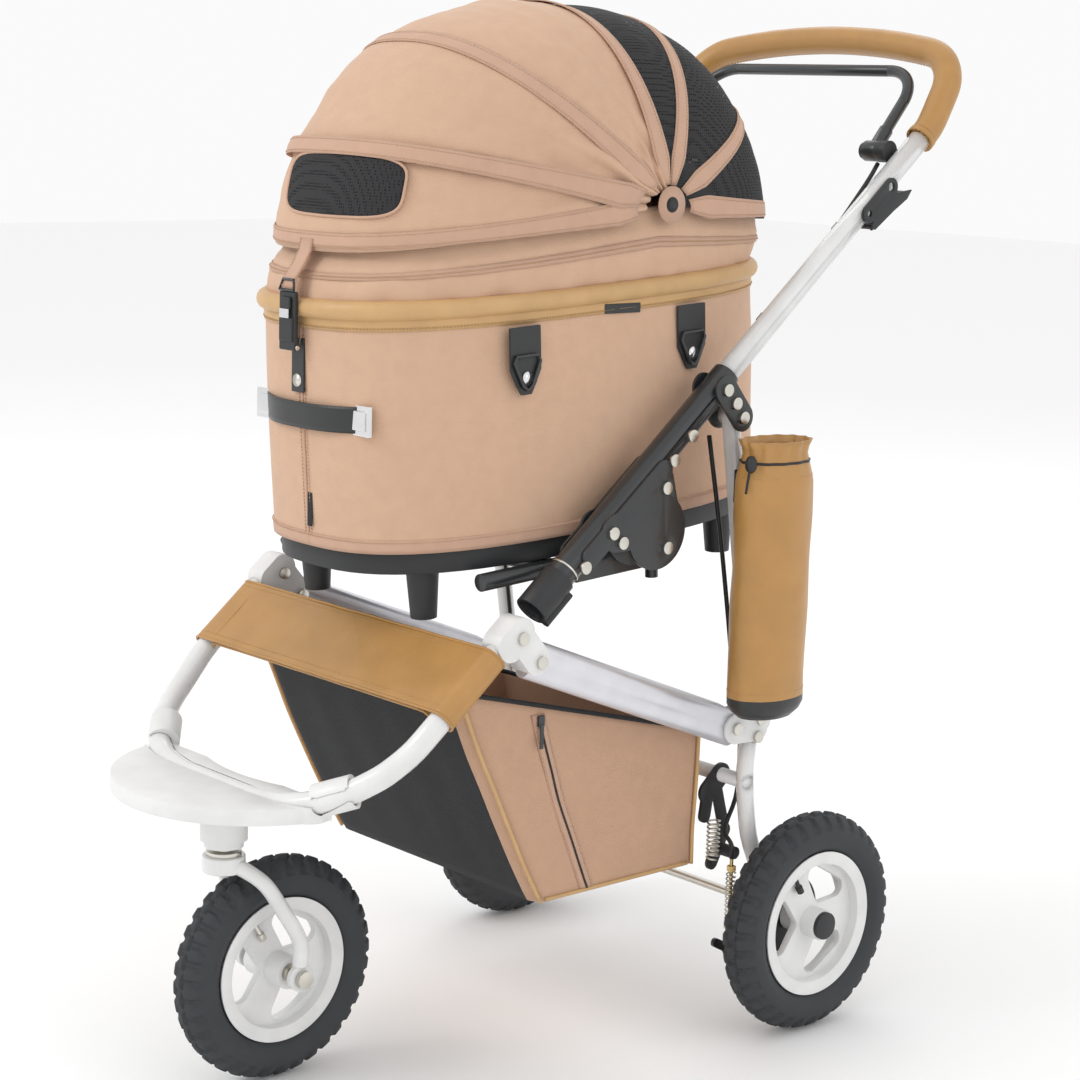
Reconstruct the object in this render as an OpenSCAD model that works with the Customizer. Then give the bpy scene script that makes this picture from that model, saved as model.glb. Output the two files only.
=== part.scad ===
// Three-wheel pet stroller with a lift-off cot, a folding frame and a hand brake bar.
// Millimetres, +Z up, front of the stroller towards -Y, origin on the floor below the middle of the box.

/* [Wheels] */
// Outer radius of a rear tyre
rear_tyre_r = 122; // [115:0.5:124]
// Outer radius of the front tyre
front_tyre_r = 118; // [110:0.5:119]
// Radius of a tyre's own section
tyre_tube_r = 23; // [20:0.5:24]
// Distance between the middles of the two rear tyres
track = 490; // [488:1:520]
// Distance from the rear axle forward to the front axle
wheelbase = 541; // [538:1:545]
// How far the caster axis stands ahead of the front axle
caster_trail = 62; // [58:1:66]

/* [Frame] */
// Distance between the middles of the two side tubes
frame_w = 400; // [396:1:404]
// Slope of the long side tubes
tube_slope = 40; // [39.5:0.1:40.5]
// Outer radius of the white tubes
white_tube_r = 12; // [11:0.5:12]
// Outer radius of the black upper tubes
black_tube_r = 15; // [14.5:0.5:15]
// Radius of the struts and the rear legs
leg_r = 9.5; // [8:0.5:9.5]
// Distance from the rear axle to the box's middle, along the length
rear_axle_y = 223.3; // [220:0.1:226]
// Sideways shift that puts the box's middle on X = 0, with the bag on the right side
shift_x = -8; // [-9:0.1:-7]

/* [Cot] */
// Half of the cot's length
cot_a = 284; // [270:1:286]
// Half of the cot's width
cot_b = 157; // [150:1:158]
// Squareness of the cot's outline, where 2 is an ellipse
cot_n = 2.75; // [2.4:0.05:3]
// Pitch of the cot, nose down
cot_tilt = 3.5; // [3:0.1:4]
// Height of the cot's fabric wall
cot_wall_h = 230; // [225:1:232]
// Wall thickness of the cot
cot_wall = 3; // [2:0.5:4]

/* [Canopy] */
// Thickness of a canopy shell
canopy_wall = 1.5; // [1:0.1:1.5]
// Height of the canopy's pivot above the floor
canopy_pivot_z = 900; // [897:1:903]

/* [Basket and bag] */
// Half of the basket's width
basket_b = 170; // [160:1:174]
// Wall thickness of the basket's fabric
basket_wall = 2; // [1.5:0.1:2.5]
// Width of the bottle bag
bag_w = 100; // [90:1:104]
// Depth of the bottle bag
bag_d = 66; // [60:1:70]

/* [Hidden] */

$fn = 48;
half_w = frame_w / 2;
half_track = track / 2;

// Driving points, as [y, z] with the rear axle at y = 0
front_axle = [-wheelbase, front_tyre_r];
rear_axle_z = rear_tyre_r;
caster_y = -wheelbase - caster_trail;
tube_start = [-400, 487];
rail_front = [-373, 456];
rail_rear = [-90, 345];
strut_foot = [-53.5, 350.5];
rail_dir = (rail_rear - rail_front) / norm(rail_rear - rail_front);
rail_slope = atan2(rail_dir[1], rail_dir[0]);

// Distances along the long tube from tube_start, and across it (negative is below)
sleeve_from = 30;
sleeve_to = 76;
black_from = 33;
black_to = 372;
handle_from = 285;
lug_at = 351;
lug_drop = -39.4;
handle_bend_at = 772;
handle_bend = 20;

// Canopy sectors, as angles about the pivot from the front horizontal
canopy_pivot_y = -171;
canopy_angles = [-8.5, 9.5, 38, 79, 107.5, 151, 184.8];
canopy_radii = [338, 320, 268, 206, 205, 219, 238];
canopy_squareness = [2.75, 2.7, 2.4, 2.3, 2.3, 2.5, 2.75];
canopy_b = 166;

// Cot placement
cot_y = -217;
cot_z = 550;

function tube_point(s, p) = [
    tube_start[0] + s * cos(tube_slope) - p * sin(tube_slope),
    tube_start[1] + s * sin(tube_slope) + p * cos(tube_slope)
];
function at_x(x, yz) = [x, yz[0], yz[1]];
function oval(a, b, n, steps) = [
    for (i = [0 : steps - 1])
        let (t = 360 * (i + 0.5) / steps, c = cos(t), s = sin(t))
        [b * sign(c) * pow(abs(c), 2 / n), a * sign(s) * pow(abs(s), 2 / n)]
];

// Everything is drawn with the rear axle at y = 0 and moved once to the box's middle
module placed() {
    translate([shift_x, rear_axle_y, 0]) children();
}

module rod(a, b, r) {
    d = b - a;
    h = norm(d);
    translate(a) rotate([0, acos(d[2] / h), atan2(d[1], d[0])]) cylinder(r = r, h = h);
}

// Children drawn in a side plane: x along +Y, y along +Z, extruded towards +X from x
module side_plate(x, thick) {
    translate([x, 0, 0]) rotate([90, 0, 90]) linear_extrude(thick) children();
}

// Frame of the long tube: local x along the tube, local y across it
module on_tube(x) {
    translate([x, tube_start[0], tube_start[1]]) rotate([tube_slope, 0, 0])
        rotate([90, 0, 90]) children();
}

// A cylinder along X between two x values at a [y, z] point
module x_pin(x0, x1, yz, r) {
    translate([x0, yz[0], yz[1]]) rotate([0, 90, 0]) cylinder(r = r, h = x1 - x0);
}

// Corner points replaced by short curves
function rounded(p) = concat([p[0]], [for (i = [1 : len(p) - 2], k = [0 : 3])
    let (a = p[i] + (p[i - 1] - p[i]) * 0.35, b = p[i] + (p[i + 1] - p[i]) * 0.35, t = k / 3)
    a * (1 - t) * (1 - t) + p[i] * 2 * t * (1 - t) + b * t * t], [p[len(p) - 1]]);

// Many-sided bar swept through a list of points that never runs along the vector side
module sweep(points, r, sides, side = [1, 0, 0]) {
    q = rounded(points);
    n = len(q);
    rings = [for (i = [0 : n - 1])
        let (d = q[min(i + 1, n - 1)] - q[max(i - 1, 0)], t = d / norm(d),
             w = cross(t, side), u = w / norm(w), v = cross(t, u))
        for (k = [0 : sides - 1])
            q[i] + r * (u * cos(360 * k / sides) + v * sin(360 * k / sides))];
    polyhedron(rings, concat(
        [[for (k = [0 : sides - 1]) k]],
        [for (i = [0 : n - 2], k = [0 : sides - 1])
            let (a = i * sides + k, b = i * sides + (k + 1) % sides)
            each [[a, b + sides, b], [a, a + sides, b + sides]]],
        [[for (k = [sides - 1 : -1 : 0]) (n - 1) * sides + k]]
    ));
}
module cable(points, r) {
    sweep(points, r, 8);
}

module both_sides() {
    children();
    mirror([1, 0, 0]) children();
}

module stadium(a, b, r) {
    d = b - a;
    translate(a) rotate(atan2(d[1], d[0])) {
        translate([0, -r]) square([norm(d), 2 * r]);
        circle(r = r);
        translate([norm(d), 0]) circle(r = r);
    }
}

// ---- Wheels ----

// Axis along X, centred on the origin
module tyre(r) {
    rotate([0, 90, 0]) rotate_extrude($fn = 96)
        translate([r - tyre_tube_r, 0]) circle(r = tyre_tube_r, $fn = 24);
}

module rim_window(r) {
    hull() {
        translate([r * 0.36, 0, 0]) cylinder(r = 6, h = 60, center = true, $fn = 24);
        for (s = [-1, 1])
            translate([r * 0.62, s * r * 0.27, 0])
                cylinder(r = 11, h = 60, center = true, $fn = 24);
    }
}

// Dished wheel disc with three windows, a barrel and a bored hub
module rim(r, hub_half, bore_r) {
    barrel_r = r - 2 * tyre_tube_r - 0.6;
    rotate([0, 90, 0]) {
        difference() {
            union() {
                rotate_extrude($fn = 96) polygon([
                    [barrel_r - 9, -16], [barrel_r + 5, -18], [barrel_r + 5, -16],
                    [barrel_r, -11], [barrel_r, 11], [barrel_r + 5, 16],
                    [barrel_r + 5, 18], [barrel_r - 9, 16]
                ]);
                rotate_extrude($fn = 64) polygon([
                    [0, -4], [barrel_r - 6, -4], [barrel_r - 6, 4], [0, 6]
                ]);
                cylinder(r = 17, h = 2 * hub_half, center = true);
            }
            cylinder(r = bore_r, h = 2 * hub_half + 2, center = true);
            for (a = [0, 120, 240]) rotate(a + 30) rim_window(barrel_r);
        }
    }
}

// Two bearings, and the valve stem with its cap
module wheel_fittings(r, hub_half, bore_r, axle_r, cap_r) {
    barrel_r = r - 2 * tyre_tube_r - 0.6;
    rotate([0, 90, 0]) {
        for (s = [-1, 1]) translate([0, 0, s * (hub_half - 4)]) difference() {
            cylinder(r = bore_r, h = 8, center = true);
            cylinder(r = axle_r + 0.05, h = 10, center = true);
        }
        if (cap_r > 0) translate([0, 0, hub_half]) cylinder(r = cap_r, h = 5);
    }
    rotate([0, 90, 0]) rotate(210) translate([barrel_r - 9.2, 0, 9.7]) rotate([0, -90, 0]) {
        cylinder(r = 2.5, h = 14);
        translate([0, 0, 14]) cylinder(r = 4, h = 8);
    }
}

hub_half_front = 30;
hub_half_rear = 24;
hub_bore_r = 11;
axle_r = 5;

module front_hub() {
    translate([0, front_axle[0], front_axle[1]]) children();
}

module front_tyre() {
    placed() color("#2b2d2f") front_hub() tyre(front_tyre_r);
}
module front_rim() {
    placed() color("#eef0f0") front_hub() rim(front_tyre_r, hub_half_front, hub_bore_r);
}
module front_wheel_fittings() {
    placed() color("#8a8c8e") front_hub()
        wheel_fittings(front_tyre_r, hub_half_front, hub_bore_r, axle_r, 0);
}
module front_axle_bolt() {
    placed() color("#c9cbcd") {
        x_pin(-52, 52, front_axle, axle_r);
        both_sides() x_pin(51.5, 57, front_axle, 9);
    }
}

module rear_hub() {
    translate([half_track, 0, rear_axle_z]) children();
}
module rear_tyre_right() {
    placed() color("#2b2d2f") rear_hub() tyre(rear_tyre_r);
}
module rear_tyre_left() {
    placed() color("#2b2d2f") mirror([1, 0, 0]) rear_hub() tyre(rear_tyre_r);
}
module rear_rim_right() {
    placed() color("#eef0f0") rear_hub() rim(rear_tyre_r, hub_half_rear, hub_bore_r);
}
module rear_rim_left() {
    placed() color("#eef0f0") mirror([1, 0, 0]) rear_hub()
        rim(rear_tyre_r, hub_half_rear, hub_bore_r);
}
module rear_fittings_right() {
    placed() color("#1f2123") rear_hub()
        wheel_fittings(rear_tyre_r, hub_half_rear, hub_bore_r, axle_r, 15);
}
module rear_fittings_left() {
    placed() color("#1f2123") mirror([1, 0, 0]) rear_hub()
        wheel_fittings(rear_tyre_r, hub_half_rear, hub_bore_r, axle_r, 15);
}

// ---- Caster ----

stem_r = 8;
fork_crown_z = 236;
housing_bottom_z = 258;
housing_top_z = 300;

module front_fork() {
    // Right arm from the crown, out around the tyre and down to a flat end plate
    arm = [
        [14, caster_y + 2, fork_crown_z + 4], [36, caster_y + 22, fork_crown_z - 10],
        [46, caster_y + 40, fork_crown_z - 40], [46, front_axle[0], front_axle[1] + 22]
    ];
    placed() color("#e9eaea") difference() {
        union() {
            both_sides() {
                for (i = [0 : 2]) rod(arm[i], arm[i + 1], 8);
                for (i = [1 : 3]) translate(arm[i]) sphere(r = 8.4);
                side_plate(41.6, 8.4) hull() {
                    translate(front_axle) circle(r = 14);
                    translate(front_axle + [0, 28]) circle(r = 6);
                }
            }
            translate([0, caster_y, fork_crown_z - 4]) cylinder(r = 22, h = 17);
        }
        x_pin(-60, 60, front_axle, axle_r + 0.05);
        translate([0, caster_y, fork_crown_z - 10]) cylinder(r = stem_r, h = 30);
    }
}
module caster_stem() {
    placed() color("#b9bbbd") translate([0, caster_y, fork_crown_z - 4]) {
        cylinder(r = stem_r, h = housing_top_z - fork_crown_z + 6);
        translate([0, 0, 17]) difference() {
            cylinder(r = 18, h = 4.5);
            translate([0, 0, -1]) cylinder(r = stem_r, h = 8);
        }
    }
}
module head_housing() {
    placed() color("#e9eaea") translate([0, caster_y, 0]) difference() {
        union() {
            translate([0, 0, housing_bottom_z]) cylinder(r = 20, h = 8);
            translate([0, 0, housing_bottom_z + 7]) cylinder(r = 24, h = 38);
            translate([0, 0, housing_top_z - 4]) cylinder(r1 = 24, r2 = 34, h = 13);
        }
        translate([0, 0, housing_bottom_z - 1])
            cylinder(r = stem_r + 0.05, h = housing_top_z + 5 - housing_bottom_z);
        rotate([0, 0, 0]) translate([-60, -caster_y + u_front[1], u_front[2]])
            rotate([0, 90, 0]) cylinder(r = white_tube_r + 0.1, h = 120);
    }
}

// ---- Front frame ----

// Front crossing of the U tube, and its route on the right side
u_front = [0, -610, 321];
u_route = [
    at_x(half_w, tube_point(12, 0)), at_x(half_w, tube_point(-118, 0)),
    [194, -519, 382], [184, -545, 362], [166, -569, 346], [140, -590, 333],
    [105, -604, 324.5], [60, -610, 321]
];

// The whole U, from the right side round the front to the left
module u_sweep(r) {
    far = [for (i = [len(u_route) - 1 : -1 : 0]) [-u_route[i][0], u_route[i][1], u_route[i][2]]];
    sweep(concat(u_route, [u_front], far), r, 24, [0, -sin(tube_slope), cos(tube_slope)]);
}
module front_u_tube() {
    placed() color("#ebecec") difference() {
        u_sweep(white_tube_r);
        both_sides() x_pin(half_w - 20, half_w + 20, tube_point(-1, -4), 3.5);
    }
}

plate_top_z = 331;
plate_thick = 16;

module footplate_outline() {
    difference() {
        union() {
            translate([0, -562]) circle(r = 147, $fn = 96);
            for (s = [-1, 1]) translate([s * 128, -592]) circle(r = 20);
        }
        translate([0, -500]) scale([1, 0.62]) circle(r = 142, $fn = 96);
        translate([-200, -578]) square([400, 260]);
    }
}
module footplate() {
    placed() color("#eff0f0") difference() {
        union() {
            translate([0, 0, plate_top_z - plate_thick]) linear_extrude(plate_thick)
                footplate_outline();
            both_sides() rod(u_route[4] + [-2, 4, 0], u_route[5] + [-6, 2, 0], white_tube_r + 5);
        }
        both_sides() {
            for (i = [2 : 6]) rod(u_route[i], u_route[i + 1], white_tube_r + 0.9);
            for (i = [3 : 7]) translate(u_route[i]) sphere(r = white_tube_r + 1.2);
        }
        x_pin(-61, 61, [u_front[1], u_front[2]], white_tube_r + 0.9);
        translate([0, caster_y, plate_top_z - plate_thick - 16]) cylinder(r = 36, h = 16.2);
    }
}

cover_from = -118;
cover_to = -33;
cover_r = white_tube_r + 2.6;
module cover_section(grow) {
    // Two tubes wrapped by one flat sleeve, seen along the tubes
    translate([-half_w, 0]) circle(r = cover_r + grow);
    translate([half_w, 0]) circle(r = cover_r + grow);
    translate([-half_w, -cover_r - grow]) square([frame_w, 2 * (cover_r + grow)]);
}
module footrest_cover() {
    placed() color("#b6813f") translate([0, tube_start[0], tube_start[1]])
        rotate([tube_slope, 0, 0]) translate([0, cover_to, 0]) rotate([90, 0, 0])
        linear_extrude(cover_to - cover_from) difference() {
            cover_section(0);
            cover_section(-2);
        }
}

module front_bracket_shape() {
    stadium([2, 0], [-16, 0], 16);
    stadium([-1, -2], [-1, -36], 15.5);
}
module front_bracket(x) {
    difference() {
        on_tube(x - 13) linear_extrude(26) front_bracket_shape();
        rod(at_x(x, tube_point(12.5, 0)), at_x(x, tube_point(-60, 0)), white_tube_r + 0.05);
        rail_body(x, 0.1);
        for (p = [tube_point(-1, -4), rail_front]) x_pin(x - 20, x + 20, p, 3.5);
    }
}
module front_bracket_right() {
    placed() color("#f0f0ee") front_bracket(half_w);
}
module front_bracket_left() {
    placed() color("#f0f0ee") front_bracket(-half_w);
}

rail_h = 41;
rail_w = 20;
// Oval aluminium section from the front bracket to the rear bracket
module rail_body(x, grow) {
    translate([x, rail_front[0], rail_front[1]]) rotate([rail_slope, 0, 0])
        rotate([-90, 0, 0]) translate([0, 0, -10 - grow])
        linear_extrude(norm(rail_rear - rail_front) + 14 + 2 * grow) {
            square([rail_w + 2 * grow, rail_h - rail_w], center = true);
            for (s = [-1, 1]) translate([0, s * (rail_h - rail_w) / 2])
                circle(r = rail_w / 2 + grow);
        }
}
module side_rail(x) {
    difference() {
        rail_body(x, 0);
        for (p = [rail_front, rail_rear]) x_pin(x - 20, x + 20, p, 3.5);
        rod(at_x(x, tube_point(13, 0)), at_x(x, tube_point(-60, 0)), white_tube_r + 0.3);
        // Corner trimmed for the folded strut
        side_plate(x - 20, 40) polygon([[-50, 336], [-130, 388], [-130, 440], [-50, 440]]);
    }
}
module side_rail_right() {
    placed() color("#dcdde3") side_rail(half_w);
}
module side_rail_left() {
    placed() color("#dcdde3") side_rail(-half_w);
}

module rear_bracket_shape() {
    stadium(rail_rear, strut_foot, 17);
    stadium(rail_rear + [3, -3], strut_foot + [-2, -10], 14);
}
module rear_bracket(x) {
    difference() {
        side_plate(x - 13, 26) rear_bracket_shape();
        // Slot for the rail, the leg and the strut between two cheeks
        translate([x - rail_w / 2 - 0.1, -140, 290]) cube([rail_w + 0.2, 200, 100]);
        for (p = [rail_rear, strut_foot, strut_foot + [-4, -19]])
            x_pin(x - 20, x + 20, p, 3.5);
    }
}
module rear_bracket_right() {
    placed() color("#f0f0ee") rear_bracket(half_w);
}
module rear_bracket_left() {
    placed() color("#f0f0ee") rear_bracket(-half_w);
}

module bolt(x, yz, span) {
    x_pin(x - span / 2 - 1, x + span / 2 + 1, yz, 3.5);
    for (s = [-1, 1]) x_pin(x + s * (span / 2 + 1.8) - 1.8, x + s * (span / 2 + 1.8) + 1.8, yz, 6.5);
}
module chassis_bolts() {
    placed() color("#c6c8ca") both_sides() {
        for (p = [tube_point(-1, -4), rail_front, rail_rear, strut_foot,
                  strut_foot + [-4, -19]]) bolt(half_w, p, 26);
    }
}

// ---- Rear frame ----

leg_top = [-56, 338];
leg_route = [leg_top, [-62, 286], [-52, 218], [-38, 186], [-2, rear_tyre_r]];
module rear_leg(x) {
    difference() {
        sweep([for (p = leg_route) at_x(x, p)], leg_r, 24);
        x_pin(x - 20, x + 20, strut_foot + [-4, -19], 3.5);
        x_pin(x - 20, x + 20, [0, rear_axle_z], axle_r);
        x_pin(x - 30, x + 30, cross_tube, cross_tube_r);
        x_pin(x - 20, x + 20, strut_foot, leg_r + 2.5);
    }
}
module rear_leg_right() {
    placed() color("#ebecec") rear_leg(half_w);
}
module rear_leg_left() {
    placed() color("#ebecec") rear_leg(-half_w);
}
cross_tube = [-61, 279];
cross_tube_r = 8;
module rear_cross_tube() {
    placed() color("#dfe0e0") x_pin(-half_w - 5, half_w + 5, cross_tube, cross_tube_r);
}
module rear_axle() {
    placed() color("#9a9c9e") {
        x_pin(-half_track - 22, half_track + 22, [0, rear_axle_z], axle_r);
        // Collars that keep the wheels off the brake drums
        both_sides() difference() {
            x_pin(half_w + 19.5, half_w + 20.7, [0, rear_axle_z], 9);
            x_pin(half_w, half_w + 40, [0, rear_axle_z], axle_r);
        }
    }
}

// ---- Parking and hand brake ----

arm_pivot = [-26, 104];
module brake_plates() {
    placed() color("#1d1f20") both_sides() {
        difference() {
            union() {
                // Drum cover beside the wheel
                x_pin(half_w + 10, half_w + 19, [0, rear_axle_z], 44);
                // Hanger from the cross tube
                side_plate(half_w - 38, 4) {
                    stadium([-61, 279], [-80, 262], 13);
                    stadium([-80, 262], [-84, 236], 8);
                    stadium([-66, 262], [-52, 214], 7);
                    stadium([-52, 214], [-70, 180], 8);
                }
                x_pin(half_w - 38, half_w - 8, [-62, 196], 7);
            }
            x_pin(half_w - 60, half_w + 40, [0, rear_axle_z], axle_r);
            x_pin(half_w - 60, half_w + 40, cross_tube, cross_tube_r);
            x_pin(half_w + 5, half_w + 16, arm_pivot, 4.05);
            rear_leg_space(half_w);
        }
    }
}
module rear_leg_space(x) {
    for (i = [0 : len(leg_route) - 2])
        rod(at_x(x, leg_route[i]), at_x(x, leg_route[i + 1]), leg_r + 0.2);
}
module brake_arm() {
    // Lever pinned to the drum cover, pulled up by the cable's threaded end
    difference() {
        union() {
            side_plate(half_w + 5.6, 4) {
                stadium(arm_pivot, [-84, 96], 7);
                stadium([-84, 96], [-104, 107], 5);
            }
            x_pin(half_w + 6, half_w + 15, arm_pivot, 4);
        }
        translate([half_w + 5, -88, 80]) cube([8, 8.6, 40]);
    }
}
module brake_arm_right() {
    placed() color("#1d1f20") brake_arm();
}
module brake_arm_left() {
    placed() color("#1d1f20") mirror([1, 0, 0]) brake_arm();
}
// A coil spring as the plain sleeve that its wire fills
module coil_spring(top, length, r, wire) {
    translate([top[0], top[1], top[2] - length]) difference() {
        cylinder(r = r + wire, h = length);
        translate([0, 0, -1]) cylinder(r = r - wire, h = length + 2);
    }
}
module brake_springs() {
    placed() color("#aeb0b2") both_sides() {
        coil_spring([half_w - 25, -80, 234], 46, 6.6, 1.2);
        coil_spring([half_w + 8, -84, 184], 66, 5, 0.9);
        rod([half_w + 8, -84, 85], [half_w + 8, -84, 198], 2);
        rod([half_w + 8, -84, 84], [half_w + 8, -84, 88], 4);
        rod([half_w + 8, -84, 184.3], [half_w + 8, -84, 190], 5);
    }
}
module brake_cable_lower() {
    placed() color("#17181a") both_sides()
        cable([[half_w - 20, -49, 327], [half_w - 20, -49, 258], [half_w - 11, -80, 224],
               [half_w + 8, -84, 214], [half_w + 8, -84, 198]], 2.5);
}

// ---- Struts ----

lug = tube_point(lug_at, lug_drop);
module strut(x) {
    difference() {
        union() {
            rod(at_x(x, strut_foot), at_x(x, lug), leg_r);
            x_pin(x - 9.5, x + 9.5, strut_foot, leg_r);
            x_pin(x - 9.5, x + 9.5, lug, leg_r);
        }
        x_pin(x - 20, x + 20, strut_foot, 3.55);
        x_pin(x - 20, x + 20, lug, 3.55);
    }
}
module strut_right() {
    placed() color("#ebecec") strut(half_w);
}
module strut_left() {
    placed() color("#ebecec") strut(-half_w);
}
module brake_cable_middle() {
    placed() color("#17181a") both_sides()
        cable([[half_w - 16.3, lug[0] - 14, lug[1] - 22], [half_w - 16.3, -98, 560],
               [half_w - 16.3, -76, 440], [half_w - 16.3, -66, 372]], 2.5);
}

bag_x = half_w + 24 + bag_d / 2;
bag_y = -96;
bag_bottom = 372;
bag_top = 664;
module bag_slice(z, grow, h) {
    translate([bag_x, bag_y, z]) scale([(bag_d / 2 + grow) / 50, (bag_w / 2 + grow) / 50, 1])
        cylinder(r = 50, h = h, $fn = 32);
}
module bottle_bag() {
    placed() color("#b6813f") {
        difference() {
            hull() {
                bag_slice(bag_bottom, -9, 1);
                bag_slice(bag_bottom + 14, 0, bag_top - bag_bottom - 74);
                bag_slice(bag_top - 1, -13, 1);
            }
            hull() {
                bag_slice(bag_bottom + 3, -11, 1);
                bag_slice(bag_bottom + 14, -2, bag_top - bag_bottom - 76);
                bag_slice(bag_top + 1, -15, 1);
            }
        }
        // Hanging strap around the strut
        translate([half_w + 10.2, bag_y - 14, bag_top - 40]) cube([17, 28, 3]);
        translate([half_w + 10.2, bag_y - 14, bag_top - 70]) cube([3, 28, 33]);
    }
}

// ---- Upper frame ----

module upper_tube(x) {
    difference() {
        rod(at_x(x, tube_point(black_from, 0)), at_x(x, tube_point(black_to, 0)), black_tube_r);
        rod(at_x(x, tube_point(black_from - 1, 0)), at_x(x, tube_point(black_to + 1, 0)),
            white_tube_r);
        for (h = tube_holes) x_pin(x - 20, x + 20, tube_point(h[0], h[1]), 3.5);
    }
}
module upper_tube_right() {
    placed() color("#262829") upper_tube(half_w);
}
module upper_tube_left() {
    placed() color("#262829") upper_tube(-half_w);
}

// Fasteners through the plates, as [along, across] the long tube
tube_holes = [[97, -3], [145, -3], [251, -4], [285, -2], [351, 0]];
plate_holes = [[148, -20], [226, -19], [189, -69], [352, -20]];
disc_mid = [190, -46];

module hinge_plate_shape() {
    stadium([110, -2], [236, -4], 11);
    translate(disc_mid) circle(r = 40, $fn = 64);
    stadium([150, -8], [178, -30], 20);
    stadium([226, -10], [212, -40], 17);
}
module lug_shape() {
    stadium([lug_at, 0], [lug_at, lug_drop], 15);
}
module hinge_plates() {
    placed() color("#232526") both_sides() difference() {
        for (x = [half_w - 18.1, half_w + 15.1]) on_tube(x) linear_extrude(3) {
            hinge_plate_shape();
            lug_shape();
        }
        for (h = concat(tube_holes, plate_holes)) x_pin(half_w - 30, half_w + 30,
            tube_point(h[0], h[1]), 3.5);
        x_pin(half_w - 30, half_w + 30, lug, 3.5);
    }
}
module upper_rivets() {
    placed() color("#c2c4c6") both_sides() {
        for (h = concat(tube_holes, plate_holes, [[lug_at, lug_drop]]))
            bolt(half_w, tube_point(h[0], h[1]), 36.2);
        // Spacers hold the two plates of a pair apart
        for (h = plate_holes) difference() {
            x_pin(half_w - 15.05, half_w + 15.05, tube_point(h[0], h[1]), 6);
            x_pin(half_w - 16, half_w + 16, tube_point(h[0], h[1]), 3.5);
            rod(at_x(half_w, tube_point(100, 0)), at_x(half_w, tube_point(360, 0)),
                black_tube_r + 0.1);
        }
        // Silver stop ring above the sleeve
        difference() {
            rod(at_x(half_w, tube_point(sleeve_to + 9, 0)),
                at_x(half_w, tube_point(sleeve_to + 11, 0)), black_tube_r + 1);
            rod(at_x(half_w, tube_point(sleeve_to + 8.5, 0)),
                at_x(half_w, tube_point(sleeve_to + 11.5, 0)), black_tube_r + 0.05);
        }
    }
}

sleeve_r = 17.5;
module latch_sleeve(x, out) {
    difference() {
        union() {
            rod(at_x(x, tube_point(sleeve_from, 0)), at_x(x, tube_point(sleeve_to, 0)), sleeve_r);
            // Finger latch along the lower outer side
            rod(at_x(x + out * 5, tube_point(sleeve_from + 2, -19)),
                at_x(x + out * 5, tube_point(sleeve_to - 4, -19)), 5);
            rod(at_x(x + out * 2, tube_point(sleeve_to - 8, -12)),
                at_x(x + out * 7, tube_point(sleeve_to - 8, -22)), 6);
        }
        rod(at_x(x, tube_point(sleeve_from - 1, 0)), at_x(x, tube_point(sleeve_to + 1, 0)),
            black_tube_r + 0.05);
    }
}
module latch_sleeve_right() {
    placed() color("#232526") latch_sleeve(half_w, 1);
}
module latch_sleeve_left() {
    placed() color("#232526") latch_sleeve(-half_w, -1);
}

// Handle: straight up the long tube, a small bend, then a wide U with a bowed cross bar
bend_start = tube_point(handle_bend_at, 0);
bend_r = 60;
bend_len = bend_r * tan(handle_bend / 2);
grip_slope = tube_slope + handle_bend;
grip_arm = 41;
grip_corner_r = 56;
grip_bow_r = 804;
grip_half = half_w;
grip_tube_r = 15.5;
// Neighbouring pieces of a bent tube stay this far apart, so that each is its own solid
joint_gap = 0.01;
module tube_piece(a, b, r, ri) {
    step = joint_gap * (b - a) / norm(b - a);
    difference() {
        rod(a + step, b - step, r);
        if (ri > 0) rod(a - step, b + step, ri);
    }
}
module bend_piece(start, angle, big, r, ri, fn) {
    cut = joint_gap / big * 180 / PI;
    difference() {
        rotate_extrude(start = start + cut, angle = angle - 2 * cut, $fn = fn)
            translate([big, 0]) circle(r = r, $fn = 32);
        if (ri > 0) rotate_extrude(start = start - cut, angle = angle + 2 * cut, $fn = fn)
            translate([big, 0]) circle(r = ri, $fn = 32);
    }
}
// Frame of the U: local x is +X, local y runs up the bent part
module on_grip() {
    translate([0, bend_start[0], bend_start[1]]) rotate([grip_slope, 0, 0]) children();
}
module u_shape(arm_from, arm, half, corner_r, r, ri = 0, bow_r = 0) {
    turn = bow_r > 0 ? asin((half - corner_r) / (bow_r - corner_r)) : 0;
    both_sides() {
        tube_piece([half, arm_from, 0], [half, arm, 0], r, ri);
        translate([half - corner_r, arm, 0])
            bend_piece(0, 90 - turn, corner_r, r, ri, 64);
    }
    if (bow_r > 0)
        translate([0, arm - (bow_r - corner_r) * cos(turn), 0])
            bend_piece(90 - turn, 2 * turn, bow_r, r, ri, 360);
    else
        tube_piece([-half + corner_r, arm + corner_r, 0], [half - corner_r, arm + corner_r, 0],
            r, ri);
}
module handle_run(from, r, ri) {
    both_sides() {
        tube_piece(at_x(half_w, tube_point(from, 0)),
            at_x(half_w, tube_point(handle_bend_at - bend_len, 0)), r, ri);
        translate([half_w, 0, 0]) rotate([90, 0, 90])
            translate(tube_point(handle_bend_at - bend_len, bend_r))
            bend_piece(tube_slope - 90, handle_bend, bend_r, r, ri, 128);
    }
    on_grip() u_shape(bend_len, grip_arm, grip_half, grip_corner_r, r, ri, grip_bow_r);
}
module handle_tube() {
    placed() color("#ebecec") difference() {
        handle_run(handle_from, white_tube_r, 0);
        for (x = [-half_w, half_w]) {
            for (h = [[285, -2], [351, 0]]) x_pin(x - 20, x + 20, tube_point(h[0], h[1]), 3.5);
            for (s = lever_rivets) x_pin(x - 20, x + 20, tube_point(s, 0), 3.5);
        }
    }
}
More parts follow.
